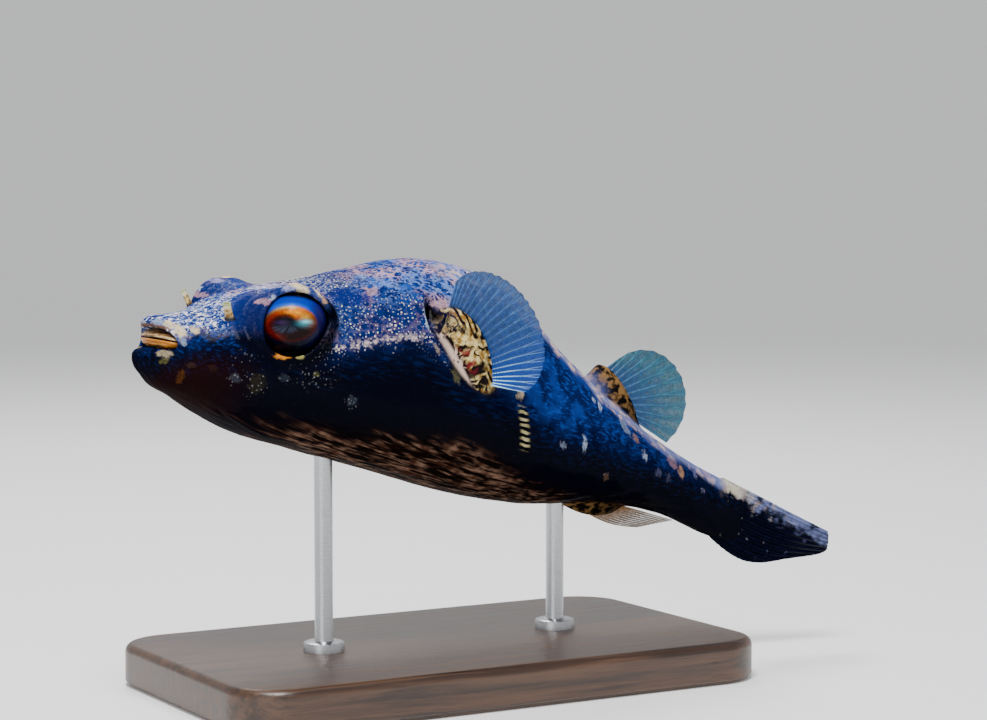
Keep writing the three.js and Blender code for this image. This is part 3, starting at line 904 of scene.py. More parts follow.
SPOTS = (
    # under and before the eye
    Spot(21.0, 2.0, 1.5, 0.50, ORANGE, 12, 0.85),
    Spot(23.5, 2.5, 0.75, 0.45, OLIVE, 12, 0.9),
    Spot(15.3, -2.7, 0.7, 0.9, FROST, 0, 0.05, 0.7),
    Spot(18.4, -2.9, 1.1, 1.5, OLIVE, 0, 0.04, 0.6),
    Spot(22.1, -1.2, 0.8, 0.7, FROST, 0, 0.03, 0.5),
    Spot(26.9, 0.4, 1.1, 0.9, OLIVE, 0, 0.16, 0.9),
    Spot(26.9, 1.2, 2.7, 2.3, OLIVE, 0, 0.0, 0.5),
    Spot(34.3, -2.6, 1.0, 0.9, FROST, 0, 0.05, 0.5),
    Spot(16.2, -0.4, 1.5, 1.7, FROST, 0, 0.0, 0.3),
    # chin and lips
    Spot(8.7, -4.2, 0.42, 1.2, ORANGE, 10, 0.07, 0, 3),
    Spot(9.4, -2.1, 0.6, 0.4, TAN, 10, 0.04, 0, 4),
    Spot(12.0, -1.9, 0.7, 0.5, TAN, 0, 0.02),
    Spot(5.8, -1.1, 0.95, 0.66, CREAM, 10, 0.4, 0, 3.4),
    Spot(6.0, -2.3, 0.6, 0.5, OLIVE, 0, 0.25, 0, 4),
    Spot(5.2, 2.75, 1.1, 0.42, BROWN, 0, 0.85),
    Spot(6.1, 3.3, 1.0, 0.7, CREAM, 20, 0.9, 0, 3.0),
    Spot(7.4, 2.7, 0.9, 1.15, CREAM, 20, 1, 0, 3.9),
    Spot(7.9, 1.3, 0.5, 0.9, FROST, 10, 0.5, 0, 4.6),
    Spot(9.5, 3.3, 0.65, 0.6, CREAM, 0, 0.8, 0, 4.6),
    # painted highlight: a whitish-blue band down the front of the upper lip
    Spot(4.9, 2.9, 0.6, 1.6, FROST, 0, 0.55, 0, 1.6),
    # brows
    Spot(22.3, 13.0, 1.3, 1.1, CREAM, 20, 1, 0, 10),
    Spot(25.3, 13.0, 0.6, 0.9, CREAM, 10, 1, 0, 8.6),
    Spot(27.3, 12.7, 0.8, 1.1, CREAM, -35, 0.95, 0, 9),
    Spot(26.4, 11.9, 0.55, 0.9, TAN, -40, 0.9, 0, 12),
    Spot(20.4, 12.4, 0.8, 0.5, LAVENDER, 20, 0.9, 0, 9),
    Spot(17.6, 9.7, 0.8, 0.55, PINK, 0, 0.75, 0, 8),
    Spot(18.6, 10.6, 0.45, 0.45, FROST, 0, 0.9, 0, 11),
    Spot(18.6, 7.3, 0.35, 0.35, FROST, 0, 0.8, 0, 8),
    Spot(33.4, 13.5, 3.6, 1.3, SHADOW_BLUE, 12, 1, -0.9, 8),
    # round the pectoral base and behind the ladder
    Spot(48.3, 15.4, 1.4, 0.5, PINK, 0, 0.9, 0, 11),
    Spot(45.7, 12.6, 0.35, 2.0, FROST, 10, 0.8),
    Spot(47.7, 8.2, 0.4, 1.0, CREAM, 35, 0.3),
    Spot(51.8, 4.8, 0.8, 1.4, OLIVE, 28, 0.22),
    Spot(65.0, 3.9, 0.9, 0.8, CREAM, 0, 0.7),
    Spot(76.1, -2.5, 0.7, 0.6, FROST, 0, 0.3),
    Spot(80.9, -1.6, 0.55, 1.4, FROST, 12, 0.75),
    Spot(84.6, 5.2, 0.6, 0.8, FROST, 0, 0.7),
    Spot(83.0, 6.0, 0.5, 0.5, FROST, 0, 0.7),
    Spot(95.9, -1.3, 0.5, 1.0, FROST, 15, 0.6),
    Spot(91.2, 2.7, 1.8, 0.7, FROST, -42, 0.35),
    Spot(93.8, 1.2, 1.1, 0.6, TAN, -42, 0.35),
    Spot(88.0, -6.2, 0.5, 0.8, TAN, 20, 0.15),
    Spot(99.5, -3.7, 0.8, 0.8, LAVENDER, 0, 0.16),
    Spot(102.1, -4.3, 0.6, 0.9, LAVENDER, 0, 0.12),
    Spot(103.1, -1.5, 1.5, 0.9, PINK, -30, 0.35),
    Spot(105.4, -2.8, 0.7, 1.2, TAN, 10, 0.55),
    Spot(109.0, -2.7, 0.6, 0.8, LAVENDER, 0, 0.3),
    Spot(112.8, -1.9, 1.2, 0.8, PINK, -20, 0.45),
    Spot(111.1, -5.1, 0.5, 0.5, LAVENDER, 0, 0.15),
)


@dataclass(frozen=True)
class Markings:
    """Colours of the skin, worked out for points of the straight fish."""

    back_line: tuple = ((7, 9, 15, 20, 28, 35, 41, 46, 52, 66, 72, 84, 92, 110),
                        (1, 2.6, 4.2, 4.6, 4.4, 6.2, 8.4, 8.8, 6, 3, 0.8, 0.6, 0, -1.6))
    belly_line: tuple = ((8, 15, 22, 33, 45, 57, 70, 80, 98),
                         (-4.5, -5.6, -6.6, -7.2, -6, -5, -8.5, -10.5, -9.8))
    ridge_line: tuple = ((50, 64, 78, 92, 105, 117), (20.4, 17.6, 10.2, 3.6, -1.0, -3.8))
    crown_line: tuple = ((6, 11, 16, 30, 52), (3.4, 4.6, 6.2, 13.8, 19.5))
    ladder_line: tuple = ((-4.2, 0, 4.6), (68.2, 66.7, 64.8))  # x over z

    def regions(self, points: Array) -> dict[str, Array]:
        """Tells which regions of the fish each point belongs to.

        Args:
            points: Points of the straight fish.

        Returns:
            Height over the line of the back ("over"), and the share of each region, by name.
        """
        x, z = points[:, 0], points[:, 2]
        wander = rumple(points, 3.2, 11.3)
        over = z - curve_through(*self.back_line, x)
        back = rise(over + 1.2 * wander, -0.9, 1.8)
        rear = rise(x, 56, 66)
        rim = rise(z - curve_through(*self.ridge_line, x) + 0.9 * wander, -0.7, 0.9)
        crown = rise(z - curve_through(*self.crown_line, x), -1.2, 2.4)
        snout = fall(x, 14.5, 19)
        belly = rise(curve_through(*self.belly_line, x) - z + 0.9 * wander, -2.4, 2.6)
        cheek = rise(x, 25.5, 28) * fall(x, 47, 53)
        return {
            "over": over,
            "back": back,
            "rear": rear,
            "rim": rim * rise(x, 46, 56),
            "crown": crown * fall(x, 50, 62),
            "snout": snout * back,
            "belly": belly * (0.3 * rise(x, 7, 12) + 0.7 * rise(x, 16, 36)) * fall(x, 96, 108),
            "dotted": cheek * rise(over + 1.6 * wander, -2.2, 0.4)
            * (1 - 0.8 * rise(over, 5, 9) * rise(x, 32, 40)),
        }

    def around_eye(self, points: Array, form: BodyForm) -> dict[str, Array]:
        """Tells what lies round the eyes.

        Args:
            points: Points of the straight fish.
            form: The body, for the places of its eyes.

        Returns:
            Shares of the dark surround, its brow, crease, ridge and front, by name; the crease is laid black
            as painted shadow.
        """
        distance, angle = form.round_eye(points)
        low = lobe(angle, 225, 70)
        ahead = lobe(angle, 165, 50)
        dark = fall(distance, 6.8 + 1.2 * low + 1.9 * ahead, 7.8 + 1.8 * low + 2.6 * ahead)
        brow = lobe(angle, 95, 52) * fall(distance, 7.6, 9.6)
        # the crease at the eye's upper rear, whose black is painted shadow
        crease = lobe(angle, 28, 30) * fall(distance, 7.2, 8.2)
        ridge = ahead * bell(distance, 9.9, 1.5) * rise(points[:, 2], 3.5, 6)
        front = ahead * fall(distance, 8.8, 10.8)
        dark = dark * (1 - 0.75 * brow)
        return {"dark": dark, "brow": brow, "crease": crease, "ridge": ridge, "front": front}

    def paint(self, points: Array, form: BodyForm) -> dict[str, Array]:
        """Colours and patterns of the skin.

        Args:
            points: Points of the straight fish.
            form: The body, for the places of its eyes.

        Returns:
            Values to keep on the skin: its tone; the shares of net, marbling and fine lines ("masks"), and
            of belly patches, ridge patches and paleness of the granules ("marks"); how thickly granules
            stand ("prickles") and how big they are ("grain"); the share of the ladder; and the colours of
            the single marks and of the pale border ("spots") with their share ("spotted").
        """
        region, eye = self.regions(points), self.around_eye(points, form)
        cloud, fine = rumple(points, 2.1, 3.7), rumple(points, 0.9, 7.1)
        tone = Paint(NAVY, len(points))
        x, z = points[:, 0], points[:, 2]
        clear = (1 - 0.95 * eye["dark"]) * (1 - eye["crease"]) * (1 - 0.8 * eye["brow"])
        clear = clear * (1 - 0.7 * eye["ridge"]) * (1 - 0.85 * eye["front"])
        dotted = region["dotted"] * clear
        tone.lay(FLANK_BLUE, rise(region["over"], -5, 0) * (0.5 + 0.4 * cloud) * (0.4 + 0.3 * region["rear"]))
        tone.lay(BACK_BLUE, region["back"] * (0.75 + 0.3 * cloud) * (1 - 0.6 * region["rear"]))
        tone.lay(SKY, region["crown"] * (0.12 + 0.4 * fine) + region["snout"] * (0.1 + 0.2 * fine))
        tone.lay(FLANK_BLUE, dotted * 0.75)
        tone.lay(LAVENDER, region["rim"] * (0.65 + 0.4 * cloud))
        middle = fall(np.abs(points[:, 1]), 1.5, 5)
        tone.lay(SKY, 0.55 * middle * region["rim"])
        tone.lay(BELLY, region["belly"])
        tone.lay(CHIN_RED, rise(-region["over"], 2, 6) * fall(x, 11, 21) * 0.8)
        tone.lay(NAVY, eye["dark"])
        tone.lay(BACK_BLUE, eye["brow"] * 0.75)
        tone.lay(BACK_BLUE, eye["ridge"] * 0.9)
        tone.lay(SHADOW_BLUE, eye["front"] * 0.5 * rise(z, 3, 6))
        # painted shadow: the crease behind the eye is laid black
        tone.lay(BLACK, eye["crease"] * 0.96)
        tone.lay(NAVY, fall(z, -1.2, -0.2) * fall(x, 5.5, 7) * 0.8)
        border = bell(region["over"] + 0.5 * cloud, 0.4, 0.75) * rise(x, 25.5, 27.5) * fall(x, 45, 48)
        nearest, grains, bare = 0.62 * border * clear, np.zeros(len(points)), np.zeros(len(points))
        spots = lerp(tone.rows, np.array(EDGE_PINK), 0.85)
        for spot in SPOTS:
            share = spot.cover(points)
            closer = share > nearest
            spots[closer] = lerp(tone.rows[closer], np.array(spot.colour), spot.strength)
            nearest = np.maximum(nearest, share)
            if spot.grains > 0:
                grains = np.maximum(grains, spot.grains * rise(spot.cover(points, 1.5), 0.2, 0.9))
            bare = np.maximum(bare, -spot.grains * rise(share, 0.3, 0.7))
        net = region["back"] * (1 - region["snout"]) * (1 - region["rear"]) * (1 - 0.85 * dotted) * clear
        marble = np.clip(region["snout"] + 0.7 * region["crown"] * fall(x, 26, 36), 0, 1) * clear
        lines = rise(region["over"], -4.5, 3) * region["rear"] * (1 - region["rim"]) * fall(x, 104, 116)
        lines = np.maximum(lines, 0.5 * fall(x, 17, 24) * rise(region["over"], -4.5, -1))
        lines = np.maximum(lines, 0.10 * rise(region["over"], -8, -3) * (1 - region["rim"]))
        aside = np.abs(x - curve_through(*self.ladder_line, z))
        ladder = fall(aside, 0.55, 1.15) * rise(z, -4.9, -4.1) * fall(z, 1.6, 2.4)
        patchy = dotted * (0.45 + 0.55 * rise(cloud, -0.5, 0.4)) * (1 - 0.85 * bare)
        dots = np.maximum(patchy, border * clear)
        pale = np.clip(np.maximum(dots, 0.38 * grains) + 0.3 * net + 0.4 * marble, 0, 1)
        thick = np.clip(0.06 + 0.94 * dots + 0.8 * grains + 0.12 * net + 0.12 * marble, 0, 1)
        return {
            "tone": tone.rows,
            "masks": np.stack([net, marble, lines * clear], -1),
            "marks": np.stack([region["belly"], region["rim"] * (1 - 0.5 * middle), pale], -1),
            "prickles": thick * (1 - 0.9 * eye["dark"]) * (1 - eye["crease"]),
            "ladder": ladder,
            "grain": np.clip(0.26 + 0.64 * dots + 0.04 * grains, 0, 1),
            "spots": spots,
            "spotted": nearest,
        }


# ---- The skin ---------------------------------------------------------------------------------------


UNWRAP_START = -2  # the skin's map starts at this x, ahead of the lips
UNWRAP_LENGTH = 128  # how much of the fish the map holds


def gill_edge(along: Array, across: Array) -> Array:
    """Share of the front edge of a pectoral base, where the gill opening lies, in the base's own axes."""
    return rise(-across + 0.1, -0.15, 0.25) * rise(along, -1.6, -1.15)


@dataclass(frozen=True)
class Socket:
    """The lids round one eye and the cup behind it, in the bent fish, in millimetres and degrees."""

    form: BodyForm
    side: Side
    ball: float = 5.3
    dome: float = 6.3
    blend: float = 2.4
    opening: float = 60
    lid: float = 0.42
    cup: float = 5.42
    axis: Place = (-0.42, -0.9, 0.06)

    @property
    def middle(self) -> Array:
        """Middle of the eyeball."""
        return self.form.pose.sway(np.array(self.form.eye) * (1, self.side.value, 1))

    @property
    def frame(self) -> Array:
        """The way the lids open, and the rearward and upward ways across it.

        Returns:
            Three unit directions, one to a row.
        """
        straight = np.array(self.axis) * (1, self.side.value, 1)
        axis = unit(self.form.pose.turned(straight, self.form.eye[0]))
        rear = unit(np.array([1.0, 0, 0]) - axis * axis[0])
        up = np.cross(rear, axis)
        return np.stack([axis, rear, up * np.sign(up[2])])

    def edge(self, around: Array) -> Array:
        """Half-angle of the opening, wider at the upper rear where a deep crease shows."""
        return self.opening + 13 * lobe(around, 22, 28)

    def polar(self, points: Array) -> tuple[Array, Array, Array]:
        """Places points by their angle off the opening's axis, the angle round it and the distance.

        Args:
            points: Points of the bent fish.

        Returns:
            Both angles in degrees, and the distances.
        """
        local = (points - self.middle) @ self.frame.T
        distance = np.linalg.norm(local, axis=-1)
        off = np.degrees(np.arccos(np.clip(local[..., 0] / distance, -1, 1)))
        return off, np.degrees(np.arctan2(local[..., 2], local[..., 1])), distance

    def direction(self, off: Array, around: Array) -> Array:
        """Unit directions from the eye's middle."""
        return off_axis(np.radians(off), np.radians(around)) @ self.frame

    def dome_distance(self, points: Array) -> Array:
        """Distance of points from the dome of skin over the eye."""
        return np.linalg.norm(points - self.middle, axis=-1) - self.dome


@dataclass
class Skin:
    """The one skin of the fish, from the throat over the lips to the root of the tail fin."""

    form: BodyForm
    swellings: list[Swelling]
    columns: int = 256
    cup_rows: int = 8
    lid_rows: int = 7
    patch_rows: int = 7
    lift_search: tuple = (9, 0, 61)  # from, to and steps, over the bare form
    socket_search: tuple = (13, 5, 33)  # the same from the middle of an eye
    cut: tuple[float, float] = (7, 12)  # the hole's margin in degrees, and how far out it may reach

    def _places(self) -> Array:
        """Places along the skin where the grid has a ring, closest round the head.

        Returns:
            The places.
        """
        parts = [
            np.arange(0, 14, 0.3), np.arange(14, 52, 0.33), np.arange(52, 118, 0.52),
            np.arange(118, 127.5, 0.35), [127.5],
        ]
        return np.concatenate(parts)

    def _rise(self, points: Array, normals: Array, distance: Callable[[Array], Array], blend: float,
              near: Array) -> Array:
        """Height of the skin over its bare form where a swelling lifts it.

        Args:
            points: Points of the bare form.
            normals: Their outward directions.
            distance: Gives the distance of points from the swelling.
            blend: How widely the swelling melts into the skin.
            near: Indexes of the points that it may reach.

        Returns:
            One height for each of the near points.
        """
        steps = np.linspace(*self.lift_search)
        places = points[near][:, None] + normals[near][:, None] * steps[None, :, None]
        values = melted(np.broadcast_to(steps, places.shape[:2]), distance(places), blend)
        return outer_crossing(steps, np.where(steps == 0, np.minimum(values, 0), values))

    def _bare_distance(self, tree: BVHTree, points: Array) -> Array:
        """Signed distance of points from the bare form.

        Args:
            tree: The bare form.
            points: The points.

        Returns:
            The distances, negative inside.
        """
        result = np.empty(points.shape[:-1])
        flat = result.ravel()
        for k, row in enumerate(points.reshape(-1, 3).tolist()):
            place, normal, _, distance = tree.find_nearest(row)
            outside = normal.dot(Vector(row) - place) >= 0
            flat[k] = distance if outside else -distance
        return result

    def _socket_rows(self, socket: Socket, tree: BVHTree, border: Array) -> list[Array]:
        """Rings of points from the border of the hole round one eye, over its lids and into its cup.

        Args:
            socket: The lids and the cup.
            tree: The bare form.
            border: Points of the border, in order.

        Returns:
            The rings, from the outside in.
        """
        off, around, _ = socket.polar(border)
        around = np.degrees(np.unwrap(np.radians(around)))
        turn = 360 * np.sign(around[-1] - around[0])
        wide = np.concatenate([around[-4:] - turn, around, around[:4] + turn])
        even = np.convolve(wide, np.ones(9) / 9, mode="valid")
        edge = socket.edge(even)
        reach = np.linspace(*self.socket_search)
        rows = []
        for share in np.linspace(0, 1, self.patch_rows + 1)[1:]:
            way = socket.direction(lerp(off, edge, share), lerp(around, even, min(1, 2 * share)))
            places = socket.middle + way[:, None] * reach[None, :, None]
            values = melted(self._bare_distance(tree, places), socket.dome_distance(places), socket.blend)
            far = outer_crossing(reach, values)
            rows.append(socket.middle + way * far[:, None])
        for bend in np.linspace(0, math.pi, self.lid_rows + 1)[1:]:
            radius = far - socket.lid + socket.lid * math.cos(bend)
            tuck = np.degrees(socket.lid * math.sin(bend) / (far - socket.lid))
            rows.append(socket.middle + socket.direction(edge - tuck, even) * radius[:, None])
        inner = far - 2 * socket.lid
        for share in np.linspace(0, 1, self.cup_rows + 1)[1:-1]:
            radius = lerp(inner, socket.cup, rise(share, 0, 0.35))
            rows.append(socket.middle + socket.direction(lerp(edge, 180, share), even) * radius[:, None])
        return rows

    def _fit_socket(self, socket: Socket, tree: BVHTree, points: Array, faces: list) -> tuple[Array, list]:
        """Cuts the grid open round one eye and joins the lids and the cup to the cut.

        Args:
            socket: The lids and the cup.
            tree: The bare form.
            points: Points of the skin.
            faces: Faces of the skin.

        Returns:
            The new points and faces.
        """
        off, around, distance = socket.polar(points)
        inside = (off < socket.edge(around) + self.cut[0]) & (distance < self.cut[1])
        kept = [f for f in faces if not inside[list(f)].any()]
        cut = {(a, b) for f in faces if inside[list(f)].any() for a, b in zip(f, f[1:] + f[:1])}
        following = {
            a: b for f in kept for a, b in zip(f, f[1:] + f[:1]) if (b, a) in cut
        }
        loop = [next(iter(following))]
        while following[loop[-1]] != loop[0]:
            loop.append(following[loop[-1]])
        rows = self._socket_rows(socket, tree, points[loop])
        count, first = len(loop), len(points)
        indexes = [loop] + [list(range(first + k * count, first + (k + 1) * count)) for k in range(len(rows))]
        hub = first + len(rows) * count
        points = np.vstack([points, *rows, socket.middle + socket.direction(180.0, 0.0) * socket.cup])
        for outer, inner in zip(indexes, indexes[1:]):
            for j in range(count):
                k = (j + 1) % count
                kept.append((outer[k], outer[j], inner[j], inner[k]))
        kept += [(indexes[-1][(j + 1) % count], indexes[-1][j], hub) for j in range(count)]
        return points, kept

    def _relief(self, points: Array, sockets: list[Socket], bent: Array) -> Array:
        """Height of folds, pleats and creases over the smooth form.

        Args:
            points: Points of the straight fish.
            sockets: Both eye sockets, which keep the folds off the lids.
            bent: The same points in the bent fish.

        Returns:
            One height in millimetres for each point.
        """
        x, y, z = points.T
        height = 0.10 * rumple(points, 5, 1.9) - 0.12
        height += 0.05 * rumple(points * (0.45, 1, 1), 1.1, 5.3) * rise(x, 8, 20)
        # a fold in front of each eye, with a hollow between the two
        distance, angle = self.form.round_eye(points)
        front = lobe(angle, 168, 42)
        height += front * (0.25 * bell(distance, 9.8, 1.2) - 0.4 * bell(distance, 8.1, 1.0))
        # pleats of the lips, deepest on their crests
        turn = np.arctan2(np.abs(y), z)
        lips = fall(x, 4.4, 7.2) * rise(np.hypot(y, z), 1.5, 3)
        height += 0.13 * lips * np.sin(26 * turn + 2.2 * rumple(points, 1.6, 9))
        # creases along the chin and the belly
        under = rise(-z, 4, 8)
        height += 0.12 * under * rumple(points * (0.2, 1, 1), 1.5, 2.7)
        # the gill opening, a crease round the front of each pectoral base
        for side in Side:
            pad = self.swellings[0 if side is Side.LEFT else 1]
            local = pad.local(bent)
            along, across = local[:, 0] / pad.halves[0], local[:, 2] / pad.halves[2]
            ring = np.hypot(along, across)
            ahead = gill_edge(along, across)
            deep = lerp(1.5, 0.45, rise(along, -1.0, -0.2)) * fall(along, 0.5, 0.95)
            same = (y * -side.value > 4) * 1.0
            width = lerp(0.17, 0.08, rise(along, -0.9, -0.2))
            height -= same * ahead * deep * bell(ring, 1.12, width)
            height += same * ahead * 0.35 * deep * bell(ring, 1.34, 0.1)
        lids = np.ones(len(points))
        for socket in sockets:
            _, _, away = socket.polar(bent)
            lids *= rise(away, 6.6, 8.2)
        return height * lids

    def build(self, markings: Markings) -> Piece:
        """Makes the skin.

        Args:
            markings: Colours of the skin.

        Returns:
            The skin, with its colours, its places in the straight fish and an unwrap of its grid.
        """
        places = self._places()
        at, turn = (a.ravel() for a in np.meshgrid(places, full_turn(self.columns), indexing="ij"))
        points = self.form.pose.sway(self.form.with_brows(self.form.skin_point(at, turn)))
        points = np.vstack([points, points[: self.columns].mean(axis=0), points[-self.columns:].mean(axis=0)])
        faces = outward(points, fanned_tube(len(places), self.columns))
        tree = BVHTree.FromPolygons(points.tolist(), faces)
        normals = point_normals(points, faces)
        sockets = [Socket(self.form, side) for side in Side]
        lift = np.zeros(len(points))
        for form in (*sockets, *self.swellings):
            distance = form.dome_distance if isinstance(form, Socket) else form.distance
            near = np.flatnonzero(distance(points) < form.blend + 0.5)
            lift[near] += self._rise(points, normals, distance, form.blend, near)
        points = points + normals * lift[:, None]
        for socket in sockets:
            points, faces = self._fit_socket(socket, tree, points, faces)
        used = np.unique([i for f in faces for i in f])
        order = np.full(len(points), -1)
        order[used] = np.arange(len(used))
        points, faces = points[used], [tuple(order[list(f)].tolist()) for f in faces]
        straight = self.form.pose.straighten(points)
        points += point_normals(points, faces) * self._relief(straight, sockets, points)[:, None]
        straight = self.form.pose.straighten(points)
        skin = new_mesh("skin", self.form.pose.to_world(points), faces, skin_finish())
        values = {"place": straight, **markings.paint(straight, self.form)}
        self._shade_bases(points, values)
        for name, rows in values.items():
            store(skin.data, name, rows)
        self._unwrap(skin, straight)
        return skin

    def _shade_bases(self, points: Array, values: dict[str, Array]) -> None:
        """Marks the fleshy fin bases, and paints the slit at the front of each pectoral base black, as
        painted shadow in the gill opening.

        Args:
            points: Points of the bent fish.
            values: The skin's values, which are changed and get two more: the shares of the ladder, the
                pectoral bases and the other bases, and each point's place on the nearest pectoral base.
        """
        tone, extras = values["tone"], np.zeros((len(points), 3))
        extras[:, 0] = values.pop("ladder")
        nearest, places = np.full(len(points), np.inf), np.zeros((len(points), 3))
        for index, swelling in enumerate(self.swellings):
            local = swelling.local(points) / np.array(swelling.halves)
            pectoral = index < len(Side)
            ring = np.linalg.norm(local * (1, 0.55 if pectoral else 1, 1), axis=1)
            inside = fall(ring, *((0.98, 1.14) if pectoral else (1.0, 1.28)))
            bare = inside
            if pectoral:
                closer = ring < nearest
                nearest, places[closer] = np.minimum(nearest, ring), local[closer]
                extras[:, 1] = np.maximum(extras[:, 1], inside)
                along, out, across = local.T
                round_it = np.hypot(along, across)
                same = np.abs(out) < 3
                ahead = gill_edge(along, across) * same
                # painted shadow: the groove and the slit of the gill opening are laid black
                gap = 0.85 * bell(round_it, 1.12, 0.07) * ahead * fall(along, 0.5, 1)
                slit = bell(along, -0.98, 0.24) * bell(across, -0.36, 0.36) * same
                black = np.clip(np.maximum(gap, 1.5 * slit), 0, 1)
                tone[:] = lerp(tone, np.array(BLACK), black[:, None])
                extras[:, 1] *= 1 - black
                bare = np.maximum(inside, black)
            else:
                rear = rise(local[:, 0], -0.7, 0.8)
                extras[:, 2] = np.maximum(extras[:, 2], inside * (1 - 0.8 * rear))
                tone[:] = lerp(tone, np.array(BLACK), inside[:, None])
            for name in ("masks", "marks"):
                values[name] *= (1 - bare)[:, None]
            values["prickles"] *= 1 - bare
        values["extras"], values["place_pad"] = extras, places

    def _unwrap(self, skin: Piece, straight: Array) -> None:
        """Gives the skin a map that follows its own form: along it one way and round it the other.

        Args:
            skin: The skin.
            straight: Its points in the straight fish.
        """
        u = (straight[:, 0] - UNWRAP_START) / UNWRAP_LENGTH
        v = np.arctan2(-straight[:, 1], straight[:, 2] + 1) / (2 * math.pi) + 0.5
        loops = whole_numbers(skin.data.loops, "vertex_index")
        starts, totals = (whole_numbers(skin.data.polygons, name) for name in ("loop_start", "loop_total"))
        across = v[loops]
        first = np.repeat(across[starts], totals)
        across = across + (first - across > 0.5) - (across - first > 0.5)
        rows = np.stack([u[loops], across], axis=-1).astype(np.float32)
        skin.data.uv_layers.new(name="Unwrap").data.foreach_set("uv", rows.ravel())


TAIL_EDGE = (117.3, -2.2)  # where the tail fin's upper edge starts
TAIL_SLOPE = 0.243  # how steeply that edge falls


